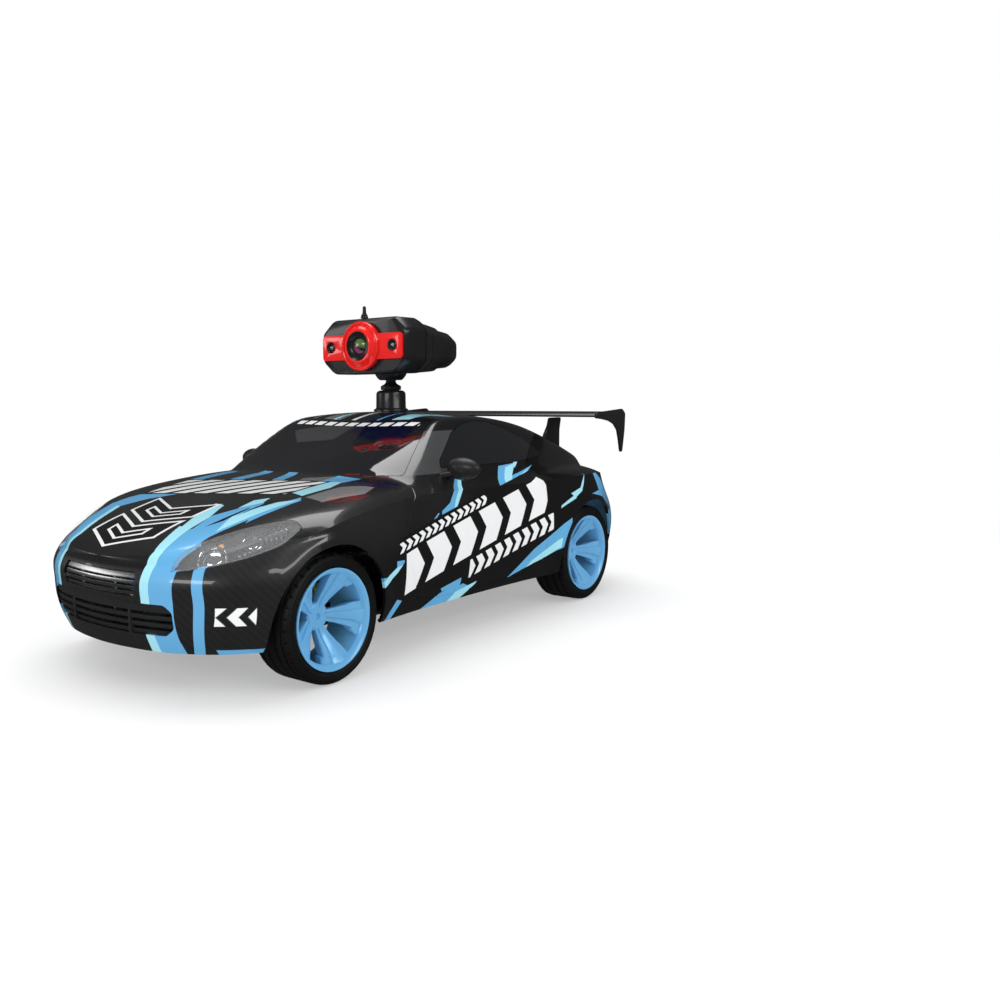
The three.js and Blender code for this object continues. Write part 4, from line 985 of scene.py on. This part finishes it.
shell = copyOf(wall)
arches = []
for axle in body["axles"]:
    for side in (1, -1):
        dropSelection()
        bpy.ops.mesh.primitive_cylinder_add(vertices=96, radius=body["arch"] * mm, depth=72 * mm)
        arch = bpy.context.object
        for vertex in arch.data.vertices:
            a, b, c = vertex.co / mm
            vertex.co = Vector((axle + a, side * 76 + c, body["axleZ"] + b)) * mm
        arch.data.flip_normals()
        arches.append(arch)
for arch in arches:
    editAll(arch)
    closeEdit(0.001)
carve(shell, arches + [cutter("screen"), cutter("rearGlass"), cutter("upperGrille"), cutter("lowerGrille")])
for side in (1, -1):
    carve(shell, [cutter("sideGlass", side=side), cutter("lamp", side=side), cutter("tailLamp", side=side)])
print("shell cut", len(shell.data.polygons))


# shut lines of the doors and the bonnet, cut as thin channels
def surfaceY(x, z):
    best = None
    for i in range(body["stations"] * 2 + 1):
        s = i / (body["stations"] * 2)
        x0 = plan(s)[0]
        if best is None or abs(x0 - x) < best[0]:
            best = (abs(x0 - x), s)
    s = best[1]
    bottom, shoulder = skinPoint(s, 0)[2], skinPoint(s, 1)[2]
    if z <= shoulder:
        return skinPoint(s, max(0, (z - bottom) / (shoulder - bottom)))[1]
    low, high = 1.0, 2.0
    for _ in range(24):
        middle = (low + high) / 2
        if skinPoint(s, middle)[2] < z:
            low = middle
        else:
            high = middle
    return skinPoint(s, low)[1]


def channel(path, radius=0.42, sides=6):
    rings = []
    for i, p in enumerate(path):
        a, b = Vector(path[max(i - 1, 0)]), Vector(path[min(i + 1, len(path) - 1)])
        along = (b - a).normalized()
        out = along.cross(Vector((0.13, 0.31, 0.94))).normalized()
        up = along.cross(out)
        rings.append([Vector(p) + (out * math.cos(t) + up * math.sin(t)) * radius
            for t in [fullTurn * k / sides for k in range(sides)]])
    return bridged(rings)


def finely(points, step=4.0):
    made = []
    for a, b in zip(points, points[1:]):
        count = max(1, round(math.dist(a, b) / step))
        made += [tuple(a[k] + (b[k] - a[k]) * i / count for k in range(len(a))) for i in range(count)]
    return made + [points[-1]]


shutLines = {
    "door": [(62, 93), (73, 84), (76, 72), (74, 50), (66, 31), (40, 28), (-40, 29), (-62, 40), (-66, 60),
        (-60, 90)],
    "bonnet": [(88, 70), (100, 69), (126, 66), (146, 62)],
}
for side in (1, -1):
    door = [(x, side * (surfaceY(x, z) + 0.12), z) for x, z in finely(shutLines["door"])]
    bonnet = [(x, side * y, topZ(x, y) + 0.1) for x, y in finely(shutLines["bonnet"])]
    carve(shell, [channel(door), channel(bonnet, 0.36)])
print("shut lines cut", len(shell.data.polygons))
dress(shell, "coupeShell", paint["body"], "chassis", "body_paint", "body_shell", angle=28)


# glass, lamps and grilles follow the same wall
def pane(key, by=0.3, side=1):
    return carve(copyOf(wall), [cutter(key, by, side)], "INTERSECT")


dress(pane("screen"), "frontScreen", paint["glazing"], "chassis", "tinted_glazing", "windscreen")
dress(pane("rearGlass"), "backScreen", paint["glazing"], "chassis", "tinted_glazing", "rear_glass")
for side, word in hands:
    for key, name, finish, slot, node in (
        ("sideGlass", "doorGlass", "glazing", "tinted_glazing", "side_glass_"),
        ("lamp", "lampCover", "clear", "clear_lens", "headlight_lens_"),
        ("tailLamp", "tailLens", "lampRed", "lamp_red", "tail_lamp_"),
    ):
        dress(pane(key, side=side), name + word.title(), paint[finish], "chassis", slot, node + word)
print("glass done")


# headlight insides: black tray with two plated projectors and stepped ribs
def offsetSkin(depth, name):
    # the shell's own surface pushed in, closed downwards to make a solid to cut with
    piece = copyOf(wallOuter)
    useModifier(piece, "SOLIDIFY", thickness=depth * mm, offset=-1.0 if facing > 0 else 1.0,
        use_even_offset=True)
    editAll(piece)
    closeEdit(0.001)
    return named(piece, name)


lampTray = offsetSkin(6.8, "lampTray")
shallow = offsetSkin(5.2, "lampCover")
lamps = {"big": (186, 57.5, 66.4, 7.6), "small": (169, 66.5, 72.2, 5.4), "amber": (178.5, 55.2, 71.6, 1.6)}
carve(lampTray, [shallow])
lampFinish = [paint["chrome"], paint["trim"], paint["amber"]]


def tilted(piece, spot, tilt):
    turn = Vector((0, 0, 1)).rotation_difference(Vector(tilt).normalized())
    piece.data.transform(turn.to_matrix().to_4x4())
    piece.data.transform(Matrix.Translation(Vector(spot) * mm))
    return piece


for side, word in hands:
    tray = carve(copyOf(lampTray), [cutter("lamp", 1.5, side)], "INTERSECT")
    coat(tray, lampFinish, 1)
    parts = [tray]
    for key in ("big", "small"):
        x, y, z, r = lamps[key]
        bowl = turned("z",
            [(0.05, -2.4), (r * 0.8, -2.4), (r, -1.0), (r, 0.6), (r - 0.5, 1.1), (r - 1.1, 0.5),
            (r - 1.6, -0.8),
            (0.05, -0.8)], (0, 0, 0), 48)
        eye = r - 2.0
        arc = [(eye * math.sin(a), -0.7 + eye * 0.5 * math.cos(a)) for a in (1.5, 1.2, 0.9, 0.6, 0.3)]
        dome = turned("z", [(0.05, -0.7)] + arc + [(0.05, -0.7 + eye * 0.5)], (0, 0, 0), 40)
        for piece, finish in ((bowl, 0), (dome, 0)):
            coat(tilted(piece, (x, side * y, z), (0.62, side * 0.36, 0.7)), lampFinish, finish)
            parts.append(piece)
    x, y, z, r = lamps["amber"]
    bead = turned("z", [(0.05, -1), (r, -1), (r, 0.4), (r * 0.6, 1), (0.05, 1.2)], (0, 0, 0), 24)
    parts.append(tilted(bead, (x, side * y, z), (0.5, side * 0.3, 0.8)))
    coat(parts[-1], lampFinish, 2)
    for k in range(7):
        x, y = 154.5 + k * 1.9, 77.2 - k * 1.1
        step = prism("y", [(x, 70), (x + 1.2, 70), (x + 1.2, 79.4 - k * 0.75), (x, 79.9 - k * 0.75)],
            side * (y - 7), side * (y - 0.5 - k * 0.3))
        coat(step, lampFinish, 0)
        parts.append(step)
    for k in range(3):
        x = 176 - k * 2.2
        slat = prism("y", [(x, 64), (x + 1.4, 64), (x + 1.4, 68.6 + k * 0.9), (x, 69 + k * 0.9)],
            side * (63 + k), side * (68 + k))
        coat(slat, lampFinish, 0)
        parts.append(slat)
    dress(soften(weld(parts), 0.15, 2, 35), "lampBowl" + word.title(), paint["chrome"], "chassis",
        "bright_chrome", "headlight_reflector_" + word)
print("lamps done")


# grilles
def bars(key, count, share, ribs, inset):
    zs = [p[1] for p in outlines[key]]
    low, high = min(zs) + 0.4, max(zs) - 0.4
    pitch = (high - low) / count
    half = max(p[0] for p in outlines[key])
    strip = offsetSkin(3.4, key + "Strip")
    front = offsetSkin(inset, key + "Front")
    carve(strip, [front])
    carve(strip, [cutter(key, 0.35)], "INTERSECT")
    gaps = []
    for k in range(count - 1):
        start = low + pitch * (k + share)
        gaps.append(prism("x",
            [(-half - 2, start), (half + 2, start), (half + 2, low + pitch * (k + 1)),
            (-half - 2, low + pitch * (k + 1))], 200, 222))
    carve(strip, gaps)
    parts = [strip]
    for y in ribs:
        rib = prism("x", [(y - 1, low), (y + 1, low), (y + 1, low + pitch * (count - 1 + share)),
            (y - 1, low + pitch * (count - 1 + share))],
            noseX - 11, noseX - 3.4 - 0.0003 * y * y)
        parts.append(rib)
    return weld(parts)


dress(soften(bars("upperGrille", 4, 0.66, [-14, 14], 0.9), 0.25, 2, 40), "noseMesh", paint["smoked"],
    "chassis", "smoked_chrome", "upper_grille")
dress(soften(bars("lowerGrille", 4, 0.55, [-24, 24], 0.9), 0.25, 2, 40), "chinMesh", paint["trim"],
    "chassis", "black_trim", "lower_grille")
print("grilles done")


# door mirrors
def mirrorHead():
    dropSelection()
    bpy.ops.mesh.primitive_uv_sphere_add(segments=48, ring_count=24, radius=mm)
    head = bpy.context.object
    for vertex in head.data.vertices:
        a, b, c = vertex.co / mm
        # flatter at the glass side, fuller at the front
        a = a * (5.4 if a > 0 else 3.6)
        b, c = b * 10.8, c * 6.5 * (1 - 0.12 * b)
        turn = 0.12
        vertex.co = Vector((28 + a * math.cos(turn) - b * math.sin(turn),
            90 + a * math.sin(turn) + b * math.cos(turn), 101 + c)) * mm
    arm = bridged([
        [(39, 74.6, 94.8), (39, 74.6, 97.8), (29, 74.6, 97.8), (29, 74.6, 94.8)],
        [(34, 81, 96), (34, 81, 99), (26.5, 81, 99), (26.5, 81, 96)],
        [(31.5, 87, 97.6), (31.5, 87, 100.8), (25.5, 87, 100.8), (25.5, 87, 97.6)],
    ])
    soften(arm, 0.7, 3, 30)
    return carve(head, [arm], "UNION")


leftMirror = mirrorHead()
rightMirror = mirroredCopy(leftMirror)
dress(leftMirror, "sideMirrorLeft", paint["trim"], "chassis", "black_trim", "mirror_left")
dress(rightMirror, "sideMirrorRight", paint["trim"], "chassis", "black_trim", "mirror_right")


# rear wing
wing = {
    "blade": [(-131.7, 127.7), (-134, 129.3), (-140, 129.8), (-148, 129.7), (-158, 129), (-164, 129.6),
        (-166.5, 130.3),
        (-166.7, 129.5), (-164, 128.2), (-158, 127.5), (-148, 127), (-140, 126.7), (-134, 126.7)],
    "plate": [(-127, 126.2), (-127.9, 130.2), (-146.8, 131.2), (-166.1, 132.2), (-170.6, 129),
        (-170.1, 117), (-167.4, 102),
        (-166.1, 100.7), (-165, 102), (-162.6, 110), (-159.8, 117), (-154, 121.5), (-147, 123.8),
        (-137, 125.3)],
    "post": [(-128.4, 98.5), (-130, 108), (-133.5, 114.5), (-138, 120), (-139.8, 126), (-154.8, 126),
        (-152.7, 117), (-153, 98.5)],
}


def slab(outline, low, high, corner, edge):
    return soften(prism("y", rounded(outline, corner, 2), low, high), edge, 3, 40)


blade = slab(wing["blade"], -88.2, 88.2, 0.4, 0.3)
dress(blade, "wingBlade", paint["wing"], "chassis", "wing_black", "wing_blade")
for side, word in hands:
    plate = slab(wing["plate"], side * 88.75, side * 90.85, 1.2, 0.5)
    dress(plate, "wingPlate" + word.title(), paint["wing"], "chassis", "wing_black",
        "wing_endplate_" + word)
    post = slab(wing["post"], side * 44.1, side * 46.9, 1.5, 0.5)
    foot = prism("y", [(-128, 96.5), (-128, 98), (-154, 98), (-154, 96.5)], side * 44, side * 47)
    dress(carve(post, [foot]), "wingPost" + word.title(), paint["wing"], "chassis", "wing_black",
        "wing_stanchion_" + word)
print("wing done")


# wheels, modelled once about the origin
wheel = {"rim": 26, "tyre": 33, "width": 26, "mid": 77.5, "z": 33, "spokes": 5}


def makeRim():
    lip = 12.7
    barrel = turned("y", [
        (26, lip), (26.0, lip - 1.0), (25.4, lip - 1.5), (24.7, lip - 1.7), (24.6, 0), (24.6, 1.5 - lip),
        (26, 1.1 - lip), (26, -lip),
        (23.1, -lip), (23.1, 6.6), (22.9, lip - 3), (23.6, lip - 1.6), (24.6, lip - 0.4),
        (25.3, lip + 0.05),
    ], (0, 0, 0), 120)
    hub = turned("y", [
        (2.32, -7.2), (6.2, -7.2), (7.0, -4.4), (7.4, -3.2), (7.2, 0.2), (6.0, 0.9), (3.4, 0.9), (1.7, 0.5),
        (1.55, -0.4), (0.02, -0.45),
        (0.02, -1.05), (2.32, -1.05),
    ], (0, 0, 0), 60)
    parts = [barrel, hub]
    for k in range(wheel["spokes"]):
        turn = math.pi / 2 + k * fullTurn / wheel["spokes"] + 0.32
        rings = []
        # each spoke is a flat blade with a raised, slanted facet on its leading side
        for r, back, lead, front, thick in (
            (4.6, 2.9, 2.9, 0.6, 3.6), (7.5, 3.3, 3.2, 1.0, 4.2), (11, 4.0, 3.9, 2.6, 5.0),
            (15.5, 5.3, 5.2, 5.4, 6.0),
            (19.5, 6.9, 6.6, 7.7, 6.4), (19.9, 6.9, 8.4, 7.9, 6.4), (22.6, 7.6, 10.6, 9.6, 6.4),
            (24.3, 7.8, 11.6, 10.3, 6.4),
        ):
            ring = []
            for a, h in ((-back, -0.35), (-back, -0.06), (-back * 0.5, 0.0), (-back * 0.44, 0.16),
                (lead * 0.34, 0.05), (lead * 0.42, -0.14),
                (lead * 0.94, -0.1), (lead, -0.3), (lead * 0.9, -1), (-back * 0.9, -1)):
                angle = turn + a / r + 0.09
                ring.append((r * math.cos(angle), front + h * thick, r * math.sin(angle)))
            rings.append(ring)
        parts.append(bridged(rings))
    rim = parts[0]
    carve(rim, parts[1:], "UNION", "EXACT")
    return soften(rim, 0.16, 2, 24)


def makeTyre():
    half = 12.95
    side = [(24.9, half - 2.2), (26.3, half - 1.75), (27.2, half - 0.55), (28.3, half - 0.06),
        (29.2, half - 0.02), (29.5, half - 0.32),
            (29.8, half - 0.05), (30.8, half - 0.12), (31.1, half - 0.45), (31.9, half - 0.7),
            (32.55, half - 1.5), (32.85, half - 2.6)]
    tread = []
    for centre in (8.2, 3.2):
        tread += [(32.98, centre + 0.75), (32.1, centre + 0.6), (32.1, centre - 0.6),
            (32.99, centre - 0.75)]
    upper = side + tread
    section = upper + [(r, -h) for r, h in reversed(upper)]
    tyre = turned("y", section, (0, 0, 0), 144)
    # short slots across each shoulder
    blocks = []
    for k in range(36):
        turn = fullTurn * k / 36
        for sign in (1, -1):
            ring = []
            for r, h in ((33.4, 12.2), (31.9, 12.9), (31.9, 9.7), (33.4, 9.3)):
                ring.append((r, sign * h))
            start = [(r * math.cos(turn - 0.014), h, r * math.sin(turn - 0.014)) for r, h in ring]
            stop = [(r * math.cos(turn + 0.014), h, r * math.sin(turn + 0.014)) for r, h in ring]
            blocks.append(bridged([start, stop]))
    carve(tyre, [weld(blocks)])
    return soften(tyre, 0.16, 2, 40)


rimBase = makeRim()
tyreBase = makeTyre()
print("wheel pieces", len(rimBase.data.polygons), len(tyreBase.data.polygons))
for end, axle in (("front", 137), ("rear", -119)):
    for side, word in hands:
        carried = "rear_axle" if end == "rear" else "front_wheel_" + word
        for base, label, slot, key in ((rimBase, "Rim", "rim_blue", "rim"),
            (tyreBase, "Tyre", "tyre_rubber", "tyre")):
            piece = copyOf(base) if side > 0 else mirroredCopy(base)
            piece.data.transform(Matrix.Translation(Vector((axle, side * wheel["mid"], wheel["z"])) * mm))
            dress(piece, end + word.title() + label, paint[key], carried, slot,
                end + "_" + key + "_" + word, angle=35)
for base in (rimBase, tyreBase):
    bpy.data.objects.remove(base)
print("wheels done")


# action camera on its ball mount
camera = {"x": -14, "ball": 157.5, "top": 191.5, "lens": 174, "face": 13.3}


def housing(rings):
    shapes = []
    for x, half, low, high, cut in rings:
        rise = cut * 0.85
        corners = [(half - cut, high), (half, high - rise), (half, low + rise), (half - cut, low),
            (cut - half, low), (-half, low + rise), (-half, high - rise), (cut - half, high)]
        shapes.append([(x, y, z) for y, z in rounded(corners, 2.4, 3)])
    return bridged(shapes)


low, top, ball, mount = camera["ball"] - 0.7, camera["top"], camera["ball"], camera["x"]
front = housing([(13, 34.5, low + 1.7, top - 2, 9), (12.2, 35.6, low + 0.7, top - 0.9, 9.3),
    (10, 36.4, low, top, 9.5),
    (2, 36.4, low, top, 9.5), (-6, 36.4, low, top, 9.5), (-12, 34.4, low + 0.2, top - 1, 9.3),
    (-18, 32, low + 0.7, top - 2.5, 9), (-26, 30.9, low + 1.2, top - 3.5, 8.5),
    (-32.4, 30, low + 1.7, top - 4.5, 8),
    (-33, 29.4, low + 2.3, top - 5, 8)])
seams = []
for x in (-5.2, -17):
    seams.append(housing([(x - 0.35, 40, low - 6, top + 4, 9), (x + 0.35, 40, low - 6, top + 4, 9)]))
    inner = housing([(x - 0.8, 35.5 if x > -10 else 31.6, low + 0.8, top - (0.8 if x > -10 else 3), 9),
        (x + 0.8, 35.5 if x > -10 else 31.6, low + 0.8, top - (0.8 if x > -10 else 3), 9)])
    carve(seams[-1], [inner])
carve(front, seams)
notch = prism("y", [(2, top - 1.4), (2, top + 2), (9.5, top + 2), (9.5, top - 0.7)], -12, -3)
carve(front, [notch])
cup = turned("z",
    [(0.02, -4.5), (7.2, -4.5), (8.6, -3.4), (10.1, -1.3), (10.5, 0), (10.6, 4.5), (0.02, 4.5)],
    (mount, 0, ball), 64)
carve(front, [cup], "UNION", "EXACT")
socket = [(-80 + 10 * k) * math.pi / 180 for k in range(17)]
hollow = turned("z",
    [(0.02, -6.3)] + [(6.3 * math.cos(a), 6.3 * math.sin(a)) for a in socket] + [(0.02, 6.3)],
    (mount, 0, ball), 64)
mouth = turned("z", [(0.02, -7.5), (7, -7.5), (4.8, -2.5), (0.02, -2.5)], (mount, 0, ball), 64)
carve(front, [hollow, mouth], "DIFFERENCE", "EXACT")
dress(soften(front, 0.4, 2, 38), "cameraCase", paint["cameraBlack"], "camera_head", "camera_black",
    "camera_housing_front")

back = housing([(-33.3, 28.6, low + 3.6, top - 6.4, 7), (-34, 29, low + 3.2, top - 6, 7),
    (-40, 28.8, low + 3.7, top - 6.7, 6.8),
    (-46, 28.5, low + 4.2, top - 7.5, 6.5), (-50.5, 26.8, low + 5.2, top - 8.9, 6.2),
    (-52, 25.4, low + 6.2, top - 10, 6)])
dress(soften(back, 0.5, 3, 38), "cameraBack", paint["cameraBlack"], "camera_head", "camera_black",
    "camera_housing_rear")

faceX, lensZ = camera["face"], camera["lens"]
bandOutline = [(33.3, lensZ - 7), (32, lensZ - 8.4), (-32, lensZ - 8.4), (-33.3, lensZ - 7),
    (-33.3, lensZ + 6), (-32, lensZ + 7.4),
    (32, lensZ + 7.4), (33.3, lensZ + 6)]
band = prism("x", rounded(bandOutline, 2.6, 4), faceX, faceX + 1.9)
disc = turned("x",
    [(5.3, 0), (15.35, 0), (15.4, 2.6), (15.1, 3.3), (14.4, 3.6), (13.7, 3.3), (13.4, 2.7), (11.6, 4.3),
    (10.9, 5.2), (10.2, 5.5),
    (9.2, 5.3), (8.6, 4.4), (7.4, 3.4), (6.4, 2.9), (5.3, 2.8)], (faceX, 0, lensZ), 96)
carve(band, [turned("x", [(0.02, -1), (10, -1), (10, 4), (0.02, 4)], (faceX, 0, lensZ), 64)])
screwY = (26, -26)
wells = [turned("x", [(0.02, 0.8), (2.2, 0.8), (3.2, 4), (0.02, 4)], (faceX, y, lensZ), 40) for y in screwY]
carve(band, wells)
rings, domes = [], []
for y in screwY:
    rings.append(turned("x",
        [(2.0, 0.5), (2.9, 0.5), (3.5, 1.5), (3.6, 2.3), (3.1, 2.6), (2.5, 2.2), (2.0, 1.2)],
        (faceX, y, lensZ), 40))
    domes.append(turned("x", [(0.02, 0.5), (1.95, 0.5), (1.9, 1.2), (1.5, 1.9), (0.8, 2.3), (0.02, 2.4)],
        (faceX, y, lensZ), 32))
carve(band, [disc], "UNION", "EXACT")
face = soften(band, 0.2, 2, 40)
faceColours = [paint["cameraRed"], paint["cameraBlack"], paint["chrome"]]
coat(face, faceColours)
for piece in rings:
    coat(piece, faceColours, 1)
for piece in domes:
    coat(piece, faceColours, 2)
# the bore round the lens is a dark rim
for polygon in face.data.polygons:
    x, y, z = polygon.center / mm
    r = math.hypot(y, z - lensZ)
    if r < 9.0:
        polygon.material_index = 1
face = weld([face] + rings + domes)
dress(face, "cameraFace", paint["cameraRed"], "camera_head", "camera_red", "camera_face")
glass = turned("x", [(0.02, 1.3), (5.0, 1.3), (5.0, 2.4), (4.6, 3.2), (3.4, 3.9), (1.8, 4.3), (0.02, 4.4)],
    (faceX, 0, lensZ), 64)
dress(glass, "cameraGlass", paint["lens"], "camera_head", "lens_glass", "camera_lens")

aerial = turned("z",
    [(0.02, 0.3), (2.4, 0.3), (2.4, 1.0), (1.9, 2.6), (1.45, 3.0), (1.5, 3.5), (1.2, 3.7), (1.12, 5.5),
    (1.05, 7.3), (0.7, 7.8), (0.02, 7.95)],
    (8, -3, top), 40)
dress(aerial, "cameraAerial", paint["cameraBlack"], "camera_head", "camera_black", "camera_antenna")

stem = [(0.02, -18.8), (5.5, -18.8), (5.55, -11.4), (5.6, -10.9), (6.4, -10.9), (6.7, -10.5), (6.7, -8.6),
    (6.2, -8.1), (4.2, -7.0), (3.4, -5.9),
        (3.3, -5.2)]
ballTurns = [(-50 + 10 * k) * math.pi / 180 for k in range(14)]
dome = [(5.55 * math.cos(a), 5.55 * math.sin(a)) for a in ballTurns]
swivel = turned("z", stem + dome + [(0.02, 5.55)], (mount, 0, ball), 64)
dress(swivel, "ballStem", paint["cameraBlack"], "camera_swivel", "camera_black", "camera_swivel")

foot, neck, rimZ = roofZ - 2.6, roofZ + 2.3, ball - 11.2
cupBase = turned("z",
    [(0.02, foot), (11.3, foot), (11.5, neck - 1.5), (11.2, neck - 0.8), (10.2, neck - 0.3),
    (9.85, neck + 0.3), (9.7, rimZ - 2.2),
    (9.2, rimZ - 1.0), (7.9, rimZ - 0.1), (7.2, rimZ), (0.02, rimZ)], (mount, 0, 0), 80)
bore = turned("z", [(0.02, ball - 19.2), (5.9, ball - 19.2), (5.9, ball), (0.02, ball)], (mount, 0, 0), 64)
carve(cupBase, [bore], "DIFFERENCE", "EXACT")
footLow = nodeBox("camera_base")[0].z
trimmed = prism("y", [(-30, 120), (-30, footLow), (2, footLow), (2, 120)], -16, 16)
carve(cupBase, [trimmed])
dress(cupBase, "mountCup", paint["cameraBlack"], "chassis", "camera_black", "camera_base")
print("camera done")


# the running gear under the shell
inside = {
    "chassis_tub": ("chassis", "chassis", "chassis_black", 0.5),
        "battery_cover": ("chassis", "chassis", "chassis_black", 0.4),
    "battery_pack": ("battery", "chassis", "battery_wrap", 1.2),
        "circuit_board": ("board", "chassis", "board_green", 0.3),
    "front_bulkhead": ("chassis", "chassis", "chassis_black", 0.6),
        "steering_servo": ("trim", "chassis", "black_trim", 0.5),
    "pod_hinge_pin": ("steel", "chassis", "steel", 0.35),
        "kingpin_left": ("steel", "chassis", "steel", 0.35),
    "kingpin_right": ("steel", "chassis", "steel", 0.35),
        "power_switch": ("trim", "power_switch", "black_trim", 0.35),
    "kingpin_washer_left": ("steel", "bump_left", "steel", 0.2),
        "kingpin_washer_right": ("steel", "bump_right", "steel", 0.2),
    "steering_knuckle_left": ("lime", "knuckle_left", "lime_plastic", 0.4),
        "steering_knuckle_right": ("lime", "knuckle_right", "lime_plastic", 0.4),
    "tie_rod": ("nylon", "tie_rod", "natural_nylon", 0.35),
        "servo_horn": ("nylon", "servo_horn", "natural_nylon", 0.3),
    "gearbox_housing": ("chassis", "rear_pod", "chassis_black", 0.6),
        "drive_motor": ("steel", "rear_pod", "steel", 0.8),
    "axle_shaft": ("steel", "rear_axle", "steel", 0.35),
        "spur_gear": ("nylon", "rear_axle", "natural_nylon", 0.25),
    "motor_pinion": ("nylon", "motor_shaft", "natural_nylon", 0.25),
}


def camelCase(node):
    words = node.split("_")
    return words[0] + "".join(w.title() for w in words[1:]) + "Soft"


for node, (key, carried, slot, width) in inside.items():
    piece = remade(node, width, 3, 30)
    dress(piece, camelCase(node), paint[key], carried, slot, node, angle=35)
# each spring is a steel coil between its two seats, carried by the chassis
for side, word in hands:
    for node, joint, spot, low, high, radius, wire, turns, keep in (
        ("front_spring_" + word, "front_bump_" + word, (137, side * 63), 38.3, 45.4, 3.5, 0.48, 4, 0.62),
        ("rear_spring_" + word, "rear_pod_pitch", (-143, side * 20), 30.0, 47.7, 4.5, 0.68, 6, 0.7),
    ):
        spring = coil(spot, low + 0.05, high - 0.05, radius, wire, turns)
        dress(spring, camelCase(node), paint["steel"], "chassis", "steel", node, angle=60)
        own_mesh(spring)
print("running gear done")
for spare in (wallOuter, wall, lampTray):
    bpy.data.objects.remove(spare)


# floor, light and camera
floorPaint = Recipe("paleFloor", (0.82, 0.82, 0.82), 0.75)
groundX, groundY = floorPaint.place()[:2]
away = floorPaint.maths("SQRT", groundX * groundX + groundY * groundY)
floorPaint.feed(floorPaint.shader.inputs["Alpha"],
    0.62 - floorPaint.maths("MULTIPLY_ADD", away, 1 / 500, -0.7, clamp=True) * 0.62)
floorPaint.colour(floorPaint.mixed(floorPaint.noise(0.02, 3), (0.8, 0.8, 0.8), (0.84, 0.84, 0.84)))
dropSelection()
bpy.ops.mesh.primitive_circle_add(vertices=128, radius=14, fill_type="NGON")
floor = named(bpy.context.object, "paleGround")
floor.data.materials.append(floorPaint.material)
floor.visible_glossy = False


def softbox(name, place, aim, width, height, power):
    dropSelection()
    bpy.ops.object.light_add(type="AREA", location=place)
    light = bpy.context.object
    light.name = name
    light.data.shape = "RECTANGLE"
    light.data.size, light.data.size_y = width, height
    light.data.energy = power
    light.rotation_euler = (Vector(aim) - Vector(place)).to_track_quat("-Z", "Y").to_euler()


softbox("overhead", (-0.2, -0.3, 1.5), (0.0, 0.0, 0.05), 1.3, 0.9, 11)
softbox("leftStrip", (0.1, 1.5, 0.95), (0.0, 0.0, 0.06), 1.2, 0.28, 5)
softbox("frontStrip", (1.6, 0.2, 0.75), (0.1, 0.0, 0.06), 0.8, 0.3, 4)
softbox("noseStrip", (1.0, -1.25, 0.4), (0.2, 0.0, 0.05), 0.7, 0.4, 2.5)

world = bpy.data.worlds.new("paleRoom")
bpy.context.scene.world = world
world.use_nodes = True
tree = world.node_tree
tree.nodes.clear()
out = tree.nodes.new("ShaderNodeOutputWorld")
path = tree.nodes.new("ShaderNodeLightPath")
# what lights the car, what its gloss mirrors, and what the camera sees behind it
room = []
for strength in (0.95, 0.045, 1.0):
    room.append(tree.nodes.new("ShaderNodeBackground"))
    room[-1].inputs["Color"].default_value = (1, 1, 1, 1)
    room[-1].inputs["Strength"].default_value = strength
shown = room[0]
for ray, other in (("Is Glossy Ray", room[1]), ("Is Camera Ray", room[2])):
    both = tree.nodes.new("ShaderNodeMixShader")
    tree.links.new(path.outputs[ray], both.inputs[0])
    tree.links.new(shown.outputs[0], both.inputs[1])
    tree.links.new(other.outputs[0], both.inputs[2])
    shown = both
tree.links.new(shown.outputs[0], out.inputs[0])

azimuth, elevation, roll = math.radians(220.16), math.radians(-8.17), math.radians(-0.48)
ahead = Vector((math.cos(azimuth) * math.cos(elevation), math.sin(azimuth) * math.cos(elevation),
    math.sin(elevation)))
right = ahead.cross(Vector((0, 0, 1))).normalized()
up = right.cross(ahead)
turnedRight = right * math.cos(roll) + up * math.sin(roll)
turnedUp = up * math.cos(roll) - right * math.sin(roll)
dropSelection()
bpy.ops.object.camera_add()
view = bpy.context.object
view.name = "mainCamera"
view.matrix_world = Matrix((turnedRight, turnedUp, -ahead)).transposed().to_4x4()
view.location = (0.4685, 0.4083, 0.1429)
view.data.lens = 34.07
view.data.sensor_width = 36
view.data.shift_x = 0.1066
view.data.shift_y = 0.0315
view.data.clip_start = 0.01
bpy.context.scene.camera = view
bpy.context.scene.view_settings.view_transform = "Standard"
